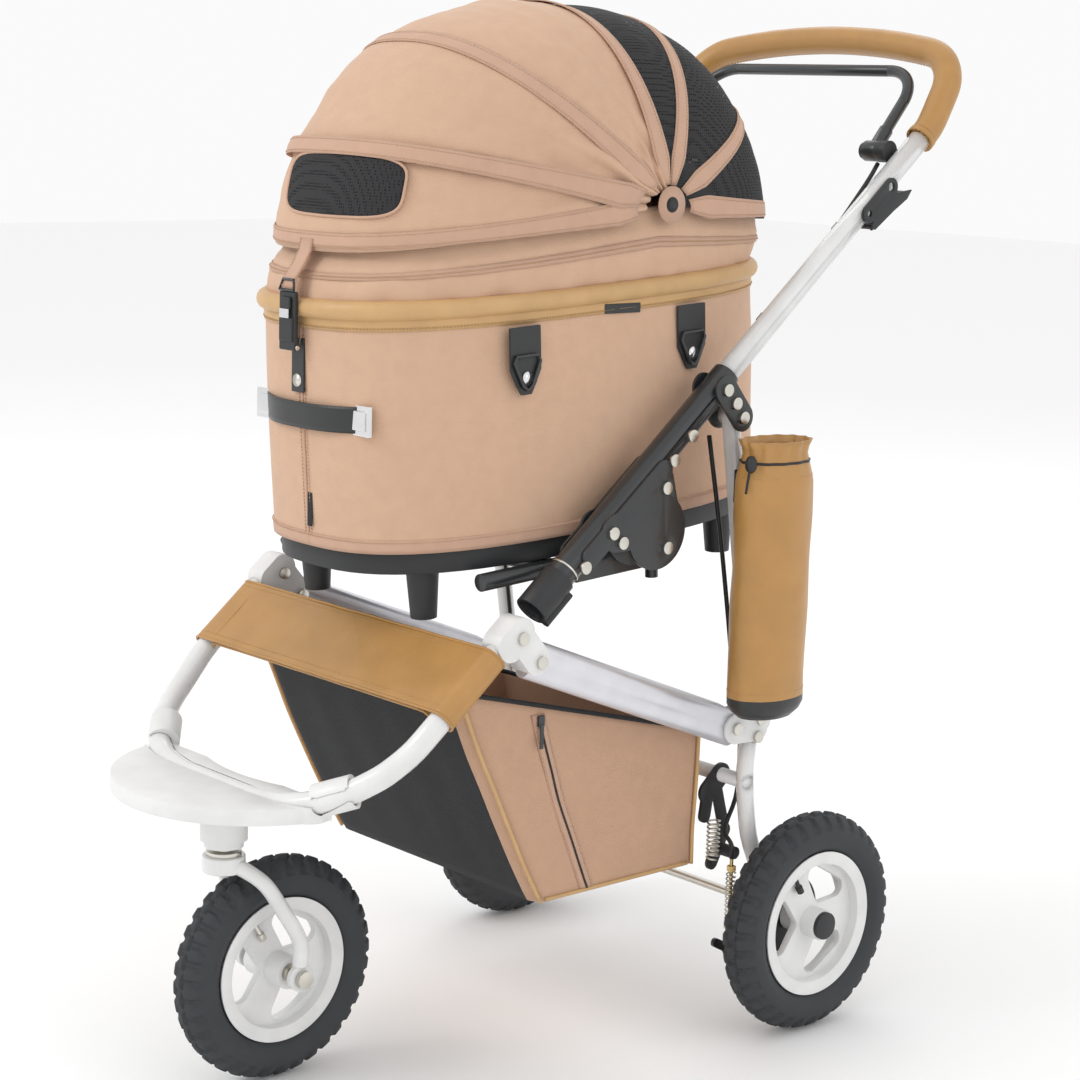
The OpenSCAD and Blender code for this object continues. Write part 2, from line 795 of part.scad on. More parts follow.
module handle_grip() {
    placed() color("#b07f3d")
        handle_run(handle_bend_at - 22, grip_tube_r, white_tube_r + 0.02);
}

// Brake bar: a smaller U that is squeezed towards the grip
bar_pivot = [141, 956];
bar_half = 164;
bar_r = 6.5;
bar_slope = 49.5;
bar_arm = 70;
bar_corner_r = 46;
module on_bar() {
    translate([0, bar_pivot[0], bar_pivot[1]]) rotate([bar_slope, 0, 0]) children();
}
module brake_bar() {
    placed() color("#1f2122") difference() {
        union() {
            on_bar() u_shape(10, bar_arm, bar_half, bar_corner_r, bar_r);
            on_bar() both_sides() translate([bar_half, 8, 0]) rotate([-90, 0, 0])
                cylinder(r = 8, h = 22);
            both_sides() x_pin(bar_half - 9, bar_half + 9, bar_pivot, 11.5);
        }
        both_sides() x_pin(bar_half - 30, bar_half + 30, bar_pivot, 4.05);
    }
}
module brake_bar_pivots() {
    placed() color("#1f2122") both_sides() difference() {
        union() {
            x_pin(bar_half - 14, half_w - 12.2, bar_pivot, 4);
            x_pin(bar_half + 9.4, half_w - 12.2, bar_pivot, 12);
            x_pin(bar_half - 14, bar_half - 9.4, bar_pivot, 9);
        }
        rod(at_x(half_w, tube_point(600, 0)), at_x(half_w, tube_point(760, 0)),
            white_tube_r + 0.05);
    }
}
module brake_cable_upper() {
    placed() color("#17181a") both_sides() {
        cable([[bar_half + 16, bar_pivot[0] - 10, bar_pivot[1] - 13],
               [bar_half + 16, 118, 926], at_x(half_w - 14.7, tube_point(606, 0))], 2.5);
        cable([at_x(half_w - 14.7, tube_point(456, 0)), at_x(half_w - 16, tube_point(430, -3)),
               at_x(half_w - 25, tube_point(390, -12)),
               at_x(half_w - 25, tube_point(320, -24))], 2.5);
    }
}

// Release levers: one under each hand, pinned at the lower rivet
lever_rivets = [628, 672];
module release_lever() {
    x = half_w;
    difference() {
        union() {
            on_tube(x + 12.5) linear_extrude(3) {
                stadium([lever_rivets[0], 0], [lever_rivets[1], 0], 10);
                polygon([[lever_rivets[0], -10], [lever_rivets[1] + 2, -10],
                         [lever_rivets[1] + 24, -24], [lever_rivets[1] + 12, -27],
                         [lever_rivets[0] - 8, -17]]);
            }
            // Finger tab that reaches under the tube
            on_tube(x - 12) linear_extrude(27.4)
                stadium([lever_rivets[0] - 2, -17], [lever_rivets[1] + 16, -23], 3);
        }
        x_pin(x - 30, x + 30, tube_point(lever_rivets[0], 0), 3.55);
        x_pin(x - 30, x + 30, tube_point(lever_rivets[1], 0), 5);
    }
}
module release_lever_right() {
    placed() color("#242628") release_lever();
}
module release_lever_left() {
    placed() color("#242628") mirror([1, 0, 0]) release_lever();
}

// ---- Cot ----

module on_cot() {
    translate([0, cot_y, cot_z]) rotate([cot_tilt, 0, 0]) children();
}
module cot_support() {
    // Black cradle under the cot, carried by the inner hinge plates
    placed() color("#1f2122") difference() {
        union() {
            on_cot() {
                both_sides() {
                    translate([150, -185, -10]) rotate([-90, 0, 0]) cylinder(r = 9, h = 262);
                    translate([150, -75, -10]) rotate([0, 90, 0]) cylinder(r = 8, h = 26);
                    translate([150, 5, -10]) rotate([0, 90, 0]) cylinder(r = 8, h = 26);
                    translate([176, -85, -22]) cube([5.8, 100, 26]);
                    translate([138, 62, -36]) cylinder(r = 11, h = 20);
                    translate([138, 62, -48]) cylinder(r = 7, h = 14);
                }
                for (y = [-90, 62]) translate([-150, y, -10]) rotate([0, 90, 0])
                    cylinder(r = 9, h = 300);
            }
        }
        both_sides() for (h = plate_holes)
            x_pin(half_w - 30, half_w - 10, tube_point(h[0], h[1]), 6.6);
    }
}
foot_at = [89.7, 210];
module cot_tray() {
    placed() color("#1c1e20") on_cot() {
        difference() {
            linear_extrude(22) polygon(oval(cot_a - 5, cot_b - 5, cot_n, 64));
            translate([0, 0, 4]) linear_extrude(20)
                polygon(oval(cot_a - 8, cot_b - 8, cot_n, 64));
        }
        for (sx = [-1, 1], sy = [-1, 1]) translate([sx * foot_at[0], sy * foot_at[1], -51])
            cylinder(r1 = 13.5, r2 = 17, h = 51.2);
    }
}
module cot_body() {
    placed() color("#cda687") on_cot() translate([0, 0, 22.1]) difference() {
        linear_extrude(cot_wall_h) polygon(oval(cot_a, cot_b, cot_n, 64));
        translate([0, 0, -1]) linear_extrude(cot_wall_h + 2)
            polygon(oval(cot_a - cot_wall, cot_b - cot_wall, cot_n, 64));
    }
}

// A closed grid of points as a polyhedron: rows run round, columns run up
module loop_sweep(rings) {
    n = len(rings);
    m = len(rings[0]);
    polyhedron(
        [for (r = rings, p = r) p],
        [for (i = [0 : n - 1], j = [0 : m - 1])
            let (a = i * m + j, b = i * m + (j + 1) % m,
                 c = ((i + 1) % n) * m + (j + 1) % m, d = ((i + 1) % n) * m + j)
            each [[a, b, c], [a, c, d]]]
    );
}

rim_r = 10.5;
rim_at = cot_wall_h + 22 + rim_r;
module cot_rim() {
    path = oval(cot_a, cot_b, cot_n, 64);
    placed() color("#c79a52") on_cot() translate([0, 0, rim_at + 0.3]) loop_sweep([
        for (i = [0 : 63])
            let (p = path[i], t = path[(i + 1) % 64] - path[(i + 63) % 64],
                 out = [t[1], -t[0]] / norm(t))
            [for (k = [0 : 9]) let (a = 36 * k)
                [p[0] + out[0] * rim_r * cos(a) * 0.9, p[1] + out[1] * rim_r * cos(a) * 0.9,
                 rim_r * sin(a)]]
    ]);
}

// Skirt between the rim and the canopy's lower edge, rising to the pivot
function skirt_low(y) = cot_z + (rim_at + rim_r + 1) + tan(cot_tilt) * (y - cot_y);
function skirt_high(y) = canopy_pivot_z - 8.5 + (y < canopy_pivot_y
    ? (y - canopy_pivot_y) * tan(-canopy_angles[0]) : (canopy_pivot_y - y) * 0.084);
module canopy_skirt() {
    outer = oval(cot_a - 2, cot_b - 1, cot_n, 64);
    inner = oval(cot_a - 4, cot_b - 3, cot_n, 64);
    placed() color("#cda687") loop_sweep([
        for (i = [0 : 63]) let (y = outer[i][1] + cot_y, v = inner[i][1] + cot_y) [
            [outer[i][0], y, skirt_low(y)], [outer[i][0], y, skirt_high(y)],
            [inner[i][0], v, skirt_high(y)], [inner[i][0], v, skirt_low(y)]
        ]
    ]);
}

function canopy_radius(a) = lookup(a, [for (i = [0 : 6]) [canopy_angles[i], canopy_radii[i]]]);
function canopy_power(a) = lookup(a, [for (i = [0 : 6]) [canopy_angles[i], canopy_squareness[i]]]);
function canopy_point(a, t, inset) =
    let (n = canopy_power(a), c = cos(t), s = sin(t),
         x = (canopy_b - inset) * sign(c) * pow(abs(c), 2 / n),
         r = (canopy_radius(a) - inset) * pow(s, 2 / n))
    [x, canopy_pivot_y - r * cos(a), canopy_pivot_z + r * sin(a)];

// A sector of the canopy between two listed angles, as a thin closed shell
module canopy_sector(from, to, inset) {
    across = 30;
    edge = 3;
    each_span = 3;
    steps = (to - from) * each_span;
    rows = [for (i = [0 : steps]) let (k = from + i / each_span, j = min(floor(k), to - 1))
        canopy_angles[j] + (canopy_angles[j + 1] - canopy_angles[j]) * (k - j)];
    loop = concat(
        [for (i = [0 : steps]) [rows[i], 0]],
        [for (i = [steps : -1 : 0]) [rows[i], canopy_wall]]
    );
    n = len(loop);
    rings = [for (j = [0 : across]) let (t = edge + (180 - 2 * edge) * j / across)
        [for (q = loop) canopy_point(q[0], t, inset + q[1])]];
    caps = steps + 1;
    polyhedron(
        [for (r = rings, p = r) p],
        concat(
            [for (j = [0 : across - 1], i = [0 : n - 1])
                let (a = j * n + i, b = j * n + (i + 1) % n,
                     c = (j + 1) * n + (i + 1) % n, d = (j + 1) * n + i)
                each [[a, c, b], [a, d, c]]],
            [for (i = [0 : caps - 2])
                let (a = i, b = i + 1, c = n - 2 - i, d = n - 1 - i)
                each [[a, b, c], [a, c, d]]],
            [for (i = [0 : caps - 2]) let (o = across * n,
                 a = o + i, b = o + i + 1, c = o + n - 2 - i, d = o + n - 1 - i)
                each [[a, c, b], [a, d, c]]]
        )
    );
}
module canopy_front() {
    placed() color("#d0a98b") canopy_sector(0, 2, 0);
}
module canopy_middle() {
    placed() color("#d6b193") canopy_sector(2, 3, 2);
}
module canopy_rear() {
    placed() color("#26282a") canopy_sector(3, 6, 4);
}
module canopy_pivots() {
    placed() color("#2a2c2e") both_sides() {
        x_pin(canopy_b - 12, canopy_b + 2, [canopy_pivot_y, canopy_pivot_z], 3);
        x_pin(canopy_b + 0.5, canopy_b + 3, [canopy_pivot_y, canopy_pivot_z], 8);
        difference() {
            x_pin(canopy_b - 11, canopy_b - 8.2, [canopy_pivot_y, canopy_pivot_z], 7);
            x_pin(canopy_b - 12, canopy_b, [canopy_pivot_y, canopy_pivot_z], 3);
        }
    }
}

// Carrying strap on the front, four hanging tabs, and the buckle's lower half
module cot_straps() {
    band = oval(cot_a + 0.4, cot_b + 0.4, cot_n, 128);
    far = oval(cot_a + 3.4, cot_b + 3.4, cot_n, 128);
    placed() color("#1e2022") on_cot() {
        translate([0, 0, 143]) linear_extrude(26) polygon(concat(
            [for (i = [87 : 104]) band[i]], [for (i = [104 : -1 : 87]) far[i]]));
        for (sx = [-1, 1], y = [-128, 102]) translate([sx * (cot_b + 0.5), y, 178])
            rotate([90, 0, sx * 90]) linear_extrude(2.5)
                polygon([[-19, 62], [-19, 18], [-6, -4], [6, -4], [19, 18], [19, 62]]);
        translate([-10, -cot_a - 4.6, 178]) cube([20, 4, 54]);
    }
}

// Front clasp, hinged at its lower end so that it can be swung off the skirt's loop
buckle_low = 224;
module front_buckle() {
    placed() color("#3a3b3d") on_cot() translate([0, -cot_a - 10.4, buckle_low]) {
        difference() {
            translate([-13, -5, -4]) cube([26, 5, 60]);
            translate([-7, -8, 40]) cube([14, 9, 8]);
        }
        translate([-11, -7.5, 6]) cube([22, 3, 22]);
        rotate([0, 90, 0]) translate([0, -3, -13]) cylinder(r = 2.5, h = 26);
    }
}

// ---- Basket ----

module basket_profile(grow) {
    polygon([[-440, 420], [-455, 345], [-330 + grow * 0.6, 188 + grow], [-100 - grow, 186 + grow],
             [-92 - grow, 300], [-92 - grow, 420]]);
}
module basket() {
    placed() color("#b98f73") difference() {
        intersection() {
            difference() {
                side_plate(-basket_b, 2 * basket_b) basket_profile(0);
                side_plate(-basket_b + basket_wall, 2 * (basket_b - basket_wall))
                    translate([0, 0]) basket_inner();
            }
            side_plate(-basket_b - 1, 2 * basket_b + 2) polygon([
                [-470, 100], [-20, 100], [-20, 336], [-96, 336], [-436, 424], [-470, 424]]);
        }
    }
}
module basket_inner() {
    polygon([[-440 + basket_wall, 430], [-455 + basket_wall, 345.6],
             [-330 + basket_wall * 0.4, 188 + basket_wall],
             [-100 - basket_wall, 186 + basket_wall], [-92 - basket_wall, 300],
             [-92 - basket_wall, 430]]);
}

front_tyre();
front_rim();
front_wheel_fittings();
front_fork();
caster_stem();
front_axle_bolt();
head_housing();
front_u_tube();
footplate();
footrest_cover();
front_bracket_right();
front_bracket_left();
side_rail_right();
side_rail_left();
rear_bracket_right();
rear_bracket_left();
chassis_bolts();
rear_leg_right();
rear_leg_left();
rear_cross_tube();
rear_axle();
rear_tyre_right();
rear_tyre_left();
rear_rim_right();
rear_rim_left();
rear_fittings_right();
rear_fittings_left();
brake_plates();
brake_arm_right();
brake_arm_left();
brake_springs();
brake_cable_lower();
strut_right();
strut_left();
brake_cable_middle();
bottle_bag();
upper_tube_right();
upper_tube_left();
hinge_plates();
upper_rivets();
latch_sleeve_right();
latch_sleeve_left();
handle_tube();
handle_grip();
brake_bar_pivots();
brake_cable_upper();
brake_bar();
release_lever_right();
release_lever_left();
cot_support();
cot_tray();
cot_body();
cot_rim();
canopy_skirt();
canopy_rear();
canopy_middle();
canopy_front();
canopy_pivots();
cot_straps();
front_buckle();
basket();
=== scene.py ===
"""Looks for a three-wheel pet stroller: materials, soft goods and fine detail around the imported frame."""

import math

import bpy
import numpy as np
from mathutils import Matrix, Vector, noise


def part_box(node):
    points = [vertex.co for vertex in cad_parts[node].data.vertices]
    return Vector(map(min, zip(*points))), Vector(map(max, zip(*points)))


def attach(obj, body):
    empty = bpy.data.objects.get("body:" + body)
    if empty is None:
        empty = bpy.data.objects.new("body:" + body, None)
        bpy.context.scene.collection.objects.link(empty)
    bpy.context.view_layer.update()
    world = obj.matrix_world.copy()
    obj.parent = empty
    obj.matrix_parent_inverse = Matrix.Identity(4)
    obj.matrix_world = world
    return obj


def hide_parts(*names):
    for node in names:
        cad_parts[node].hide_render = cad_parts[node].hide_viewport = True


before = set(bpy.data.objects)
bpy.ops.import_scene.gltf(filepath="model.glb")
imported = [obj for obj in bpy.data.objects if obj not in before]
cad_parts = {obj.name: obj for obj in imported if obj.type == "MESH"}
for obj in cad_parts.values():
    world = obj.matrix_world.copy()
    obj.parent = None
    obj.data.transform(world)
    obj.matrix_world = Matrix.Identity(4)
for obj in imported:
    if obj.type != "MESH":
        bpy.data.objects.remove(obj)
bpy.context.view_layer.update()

# ---- Places worked out from the frame ----
AXLE_LOW, AXLE_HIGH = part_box("rear_axle")
MID_X = (AXLE_LOW.x + AXLE_HIGH.x) / 2
AXLE_Y = (AXLE_LOW.y + AXLE_HIGH.y) / 2
MM = 0.001


def at(x, y, z):
    """Millimetres from the middle of the rear axle's floor line, as a point in the row frame."""
    return Vector((MID_X + x * MM, AXLE_Y + y * MM, z * MM))


# ---- Camera ----
CAMERA_AT = at(1959.4, -1937.0, 1004.3)
CAMERA_YAW, CAMERA_PITCH, CAMERA_ROLL = 0.84248, 0.17952, -0.02717
SENSOR, LENS = 36.0, 81.28


def add_camera():
    back = Vector((math.sin(CAMERA_YAW) * math.cos(CAMERA_PITCH),
                   -math.cos(CAMERA_YAW) * math.cos(CAMERA_PITCH), math.sin(CAMERA_PITCH)))
    level = (-back).cross(Vector((0, 0, 1))).normalized()
    drop = (-back).cross(level)
    c, s = math.cos(CAMERA_ROLL), math.sin(CAMERA_ROLL)
    right = c * level + s * drop
    up = s * level - c * drop
    turn = Matrix((right, up, back)).transposed().to_4x4()
    data = bpy.data.cameras.new("camera")
    data.lens, data.sensor_width = LENS, SENSOR
    data.clip_end = 50
    camera = bpy.data.objects.new("camera", data)
    bpy.context.scene.collection.objects.link(camera)
    camera.matrix_world = Matrix.Translation(CAMERA_AT) @ turn
    bpy.context.scene.camera = camera


add_camera()


# ---- Materials ----
def new_material(name, color, rough, metal=0.0, coat=0.0, sheen=0.0):
    m = bpy.data.materials.new(name)
    m.use_nodes = True
    b = m.node_tree.nodes["Principled BSDF"]
    b.inputs["Base Color"].default_value = (*color, 1)
    b.inputs["Roughness"].default_value = rough
    b.inputs["Metallic"].default_value = metal
    b.inputs["Coat Weight"].default_value = coat
    b.inputs["Sheen Weight"].default_value = sheen
    return m, m.node_tree.nodes, m.node_tree.links, b


def node(nodes, kind, **values):
    n = nodes.new(kind)
    for k, v in values.items():
        if k in n.inputs:
            n.inputs[k].default_value = v
        else:
            setattr(n, k, v)
    return n


def vary_color(nodes, links, b, coords, color, scale, amount):
    """Base colour that wanders a little between a darker and a lighter tone."""
    spots = node(nodes, "ShaderNodeTexNoise", Scale=scale, Detail=3.0)
    links.new(coords.outputs["Object"], spots.inputs["Vector"])
    ramp = nodes.new("ShaderNodeValToRGB")
    ramp.color_ramp.elements[0].position = 0.3
    ramp.color_ramp.elements[1].position = 0.7
    ramp.color_ramp.elements[0].color = (*[c * (1 - amount) for c in color], 1)
    ramp.color_ramp.elements[1].color = (*[min(1, c * (1 + amount)) for c in color], 1)
    links.new(spots.outputs["Fac"], ramp.inputs["Fac"])
    links.new(ramp.outputs["Color"], b.inputs["Base Color"])
    return ramp


def add_bump(nodes, links, b, height, strength, distance, below=None):
    bump = node(nodes, "ShaderNodeBump", Strength=strength, Distance=distance)
    links.new(height, bump.inputs["Height"])
    if below:
        links.new(below.outputs["Normal"], bump.inputs["Normal"])
    links.new(bump.outputs["Normal"], b.inputs["Normal"])
    return bump


def cloth(name, color, thread=1.1, rough=0.8, strength=0.4, crease=0.3, sheen=0.1):
    """Plain weave: two sets of threads, a slight slub and soft creases. thread is in millimetres."""
    m, nodes, links, b = new_material(name, color, rough, sheen=sheen)
    coords = nodes.new("ShaderNodeTexCoord")
    vary_color(nodes, links, b, coords, color, 60, 0.03)
    bands = []
    for way in ("Z", "DIAGONAL"):
        w = node(nodes, "ShaderNodeTexWave", Scale=1000 / thread / 6.3, Distortion=0.6)
        w.bands_direction = way
        links.new(coords.outputs["Object"], w.inputs["Vector"])
        bands.append(w)
    weave = node(nodes, "ShaderNodeMath", operation="MULTIPLY")
    for i, w in enumerate(bands):
        links.new(w.outputs["Fac"], weave.inputs[i])
    soft = node(nodes, "ShaderNodeTexNoise", Scale=14.0, Detail=4.0, Distortion=0.6)
    links.new(coords.outputs["Object"], soft.inputs["Vector"])
    low = add_bump(nodes, links, b, soft.outputs["Fac"], crease, 0.006)
    add_bump(nodes, links, b, weave.outputs["Value"], strength, 0.0004, low)
    return m


def leather(name, color, rough=0.42):
    m, nodes, links, b = new_material(name, color, rough, coat=0.1)
    coords = nodes.new("ShaderNodeTexCoord")
    vary_color(nodes, links, b, coords, color, 30, 0.06)
    grain = node(nodes, "ShaderNodeTexVoronoi", Scale=520.0)
    links.new(coords.outputs["Object"], grain.inputs["Vector"])
    add_bump(nodes, links, b, grain.outputs["Distance"], 0.3, 0.0004)
    return m


def hard(name, color, rough, metal=0.0, coat=0.0, grain=900.0, strength=0.04):
    m, nodes, links, b = new_material(name, color, rough, metal, coat)
    coords = nodes.new("ShaderNodeTexCoord")
    vary_color(nodes, links, b, coords, color, 30, 0.05)
    fine = node(nodes, "ShaderNodeTexNoise", Scale=grain, Detail=2.0)
    links.new(coords.outputs["Object"], fine.inputs["Vector"])
    add_bump(nodes, links, b, fine.outputs["Fac"], strength, 0.0003)
    return m


def net(name, color, pitch=3.0, hole=0.3):
    """Open mesh cloth: small round holes in a dark knit. pitch is in millimetres."""
    m, nodes, links, b = new_material(name, color, 0.8)
    coords = nodes.new("ShaderNodeTexCoord")
    cells = node(nodes, "ShaderNodeTexVoronoi", Scale=1000 / pitch, Randomness=0.15)
    links.new(coords.outputs["Object"], cells.inputs["Vector"])
    solid = node(nodes, "ShaderNodeMath", operation="GREATER_THAN")
    solid.inputs[1].default_value = hole
    links.new(cells.outputs["Distance"], solid.inputs[0])
    links.new(solid.outputs["Value"], b.inputs["Alpha"])
    add_bump(nodes, links, b, cells.outputs["Distance"], 0.5, 0.0004)
    return m


ROSE = (0.60, 0.39, 0.265)
MAT = {
    "rose": cloth("rose_cloth", ROSE),
    "rose_band": cloth("rose_band", (0.55, 0.345, 0.245), thread=0.9, crease=0.08),
    "basket": cloth("basket_cloth", (0.52, 0.32, 0.21), crease=0.5),
    "trim": leather("trim_leather", (0.56, 0.345, 0.15), 0.5),
    "black_cloth": cloth("black_cloth", (0.018, 0.019, 0.021), thread=1.3, crease=0.15, sheen=0.0),
    "net": net("black_net", (0.02, 0.02, 0.022)),
    "thread": hard("thread", (0.50, 0.33, 0.2), 0.8),
    "thread_tan": hard("thread_tan", (0.5, 0.3, 0.12), 0.8),
    "tan": leather("tan_leather", (0.45, 0.235, 0.068)),
    "black_leather": leather("black_leather", (0.02, 0.021, 0.022)),
    "white": hard("white_paint", (0.74, 0.74, 0.735), 0.22, coat=0.6),
    "white_plastic": hard("white_plastic", (0.75, 0.75, 0.745), 0.38, strength=0.08),
    "silver": hard("satin_silver", (0.70, 0.70, 0.74), 0.34, metal=0.55),
    "steel": hard("zinc_steel", (0.66, 0.64, 0.58), 0.28, metal=1.0),
    "brass": hard("brass", (0.62, 0.45, 0.2), 0.3, metal=1.0),
    "chrome": hard("bright_clip", (0.75, 0.75, 0.76), 0.15, metal=1.0, strength=0.01),
    "black_metal": hard("black_metal", (0.022, 0.024, 0.026), 0.36, coat=0.3),
    "black_plastic": hard("black_plastic", (0.02, 0.021, 0.023), 0.48, strength=0.12),
    "rubber": hard("rubber", (0.035, 0.038, 0.042), 0.72, strength=0.2),
    "cable": hard("cable", (0.012, 0.012, 0.013), 0.45),
    # painted shade: near-black sheet for the shaded inside of the hood, seen through the window net
    "painted_shade": hard("painted_shade_sheet", (0.012, 0.012, 0.013), 0.9),
}
NODE_LOOKS = {
    "white": ("front_fork", "front_u_tube", "rear_leg_right", "rear_leg_left",
              "rear_cross_tube", "strut_right", "strut_left", "handle_tube"),
    "white_plastic": ("front_rim", "rear_rim_right", "rear_rim_left", "head_housing",
                      "footplate", "front_bracket_right", "front_bracket_left",
                      "rear_bracket_right", "rear_bracket_left"),
    "silver": ("side_rail_right", "side_rail_left"),
    "steel": ("front_axle_bolt", "rear_axle", "chassis_bolts", "upper_rivets", "caster_stem",
              "front_wheel_fittings"),
    "black_plastic": ("rear_fittings_right", "rear_fittings_left", "cot_tray",
                      "brake_bar_pivots", "release_lever_right", "release_lever_left",
                      "latch_sleeve_right", "latch_sleeve_left", "canopy_pivots",
                      "brake_plates"),
    "black_metal": ("brake_arm_right", "brake_arm_left", "upper_tube_right",
                    "upper_tube_left", "hinge_plates", "brake_bar", "cot_support"),
    "cable": ("brake_cable_lower", "brake_cable_middle", "brake_cable_upper"),
}
EDGE_WIDTH = {"white_plastic": 1.2, "silver": 0.8, "black_plastic": 0.7, "black_metal": 0.5,
              "steel": 0.5}


def dress_nodes():
    """Every CAD node that stays in view gets its finish, joined faces and softened edges."""
    for look, names in NODE_LOOKS.items():
        for name in names:
            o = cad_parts[name]
            o.data.materials.clear()
            o.data.materials.append(MAT[look])
            weld = o.modifiers.new("weld", "WELD")
            weld.merge_threshold = 0.00001
            if look in EDGE_WIDTH:
                bevel = o.modifiers.new("edges", "BEVEL")
                bevel.width = EDGE_WIDTH[look] * MM
                bevel.segments = 2
                bevel.angle_limit = math.radians(50)
                bevel.use_clamp_overlap = True
            o.data.shade_smooth()
            o.data.set_sharp_from_angle(angle=math.radians(35))


dress_nodes()


# ---- Mesh helpers ----
def mesh_object(name, points, faces, look, smooth=True):
    data = bpy.data.meshes.new(name)
    data.from_pydata([tuple(p) for p in points], [], faces)
    data.update()
    if smooth:
        data.shade_smooth()
    o = bpy.data.objects.new(name, data)
    bpy.context.scene.collection.objects.link(o)
    data.materials.append(MAT[look])
    return o


def grid_faces(rows, columns, close_rows=False, close_columns=False, base=0):
    faces = []
    for i in range(rows if close_rows else rows - 1):
        for j in range(columns if close_columns else columns - 1):
            k, m = (i + 1) % rows, (j + 1) % columns
            faces.append([base + i * columns + j, base + i * columns + m,
                          base + k * columns + m, base + k * columns + j])
    return faces


def sheet_object(name, rows, look, thick=1.2, close_rows=False, close_columns=False):
    """Cloth made from rows of points, with its own thickness in millimetres."""
    o = mesh_object(name, [p for r in rows for p in r],
                    grid_faces(len(rows), len(rows[0]), close_rows, close_columns), look)
    if thick:
        solid = o.modifiers.new("thickness", "SOLIDIFY")
        solid.thickness = thick * MM
        solid.offset = 0
    return o


def ring_points(centre, along, across, radius, sides):
    u = across.normalized()
    v = along.cross(u).normalized()
    return [centre + radius * (math.cos(2 * math.pi * k / sides) * u
                               + math.sin(2 * math.pi * k / sides) * v) for k in range(sides)]


def frames(path, closed=False):
    """A direction and a steady cross direction at each point of a path."""
    n = len(path)
    out = []
    across = None
    for i, p in enumerate(path):
        if closed:
            d = path[(i + 1) % n] - path[i - 1]
        else:
            d = path[min(i + 1, n - 1)] - path[max(i - 1, 0)]
        d.normalize()
        if across is None:
            across = d.orthogonal()
        across = (across - d * across.dot(d)).normalized()
        out.append((p, d, across.copy()))
    return out


def tube_parts(path, radius, sides=12, closed=False, shape=None):
    """Points and faces of a tube; shape(i, k) may scale the radius at ring i, side k."""
    points = []
    rings = frames(path, closed)
    for i, (p, d, across) in enumerate(rings):
        r = ring_points(p, d, across, radius * MM, sides)
        if shape:
            r = [p + (q - p) * shape(i, k) for k, q in enumerate(r)]
        points += r
    faces = grid_faces(len(rings), sides, close_rows=closed, close_columns=True)
    if not closed:
        faces.append(list(range(sides))[::-1])
        faces.append([(len(rings) - 1) * sides + k for k in range(sides)])
    return points, faces


def tube(name, path, radius, look, sides=12, closed=False, shape=None):
    return mesh_object(name, *tube_parts(path, radius, sides, closed, shape), look)


def joined(name, parts, look, smooth=True):
    """One object from several lists of points and faces."""
    points, faces = [], []
    for p, f in parts:
        faces += [[i + len(points) for i in face] for face in f]
        points += p
    return mesh_object(name, points, faces, look, smooth)


def resample(path, step):
    """Points every step millimetres along a path."""
    out = [path[0].copy()]
    left = step * MM
    for a, b in zip(path, path[1:]):
        span = (b - a).length
        done = 0.0
        while span - done >= left:
            done += left
            out.append(a.lerp(b, done / span))
            left = step * MM
        left -= span - done
    return out


def stitch_parts(path, pitch=3.6, fill=0.62, radius=0.42):
    """A row of short threads along a path."""
    marks = resample(path, pitch)
    parts = []
    for a, b in zip(marks, marks[1:]):
        parts.append(tube_parts([a, a.lerp(b, fill)], radius, 5))
    return parts


def stitches(name, paths, body, look="thread", pitch=3.6, radius=0.42):
    parts = [part for path in paths for part in stitch_parts(path, pitch, radius=radius)]
    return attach(joined(name, parts, look), body)


def ball_parts(centre, radius, squash=1.0, rings=8, sides=12):
    points, faces = [], []
    for i in range(rings + 1):
        a = math.pi * i / rings
        for k in range(sides):
            t = 2 * math.pi * k / sides
            points.append(centre + MM * radius * Vector((
                math.sin(a) * math.cos(t), math.sin(a) * math.sin(t), squash * math.cos(a))))
    return points, grid_faces(rings + 1, sides, close_columns=True)


def disc_parts(centre, normal, radius, thick, sides=20):
    n = normal.normalized() * thick * MM / 2
    return tube_parts([centre - n, centre + n], radius, sides)


def box_parts(centre, x, y, z, size):
    """A block with its own three directions and its full size in millimetres."""
    points = []
    for sx in (-1, 1):
        for sy in (-1, 1):
            for sz in (-1, 1):
                points.append(centre + 0.5 * MM * (
                    sx * size[0] * x + sy * size[1] * y + sz * size[2] * z))
    faces = [[0, 1, 3, 2], [4, 6, 7, 5], [0, 4, 5, 1], [2, 3, 7, 6], [0, 2, 6, 4], [1, 5, 7, 3]]
    return points, faces


def wander(x, y, z, scale, seed=0.0):
    """Smooth repeatable noise from -1 to 1."""
    return noise.noise(Vector((x * scale + seed, y * scale - seed, z * scale + 2 * seed)))


# ---- Cot ----
COT_A, COT_B, COT_N = 284.0, 157.0, 2.75
COT_TILT = math.radians(3.5)
COT_Y, COT_Z = -217.0, 550.0
WALL_LOW, WALL_HIGH = 22.0, 252.0


def oval(t, a=COT_A, b=COT_B, n=COT_N):
    """A point of the cot's outline at angle t (radians), from its right side round the rear."""
    c, s = math.cos(t), math.sin(t)
    return (b * math.copysign(abs(c) ** (2 / n), c), a * math.copysign(abs(s) ** (2 / n), s))


def oval_even(count, a=COT_A, b=COT_B):
    """Evenly spaced outline points with their outward directions."""
    fine = [oval(2 * math.pi * i / 2000, a, b) for i in range(2000)]
    p = np.array(fine + fine[:1])
    d = np.concatenate([[0], np.cumsum(np.linalg.norm(np.diff(p, axis=0), axis=1))])
    s = np.linspace(0, d[-1], count, endpoint=False)
    x, y = np.interp(s, d, p[:, 0]), np.interp(s, d, p[:, 1])
    tx, ty = np.roll(x, -1) - np.roll(x, 1), np.roll(y, -1) - np.roll(y, 1)
    size = np.hypot(tx, ty)
    return list(zip(x, y, ty / size, -tx / size))


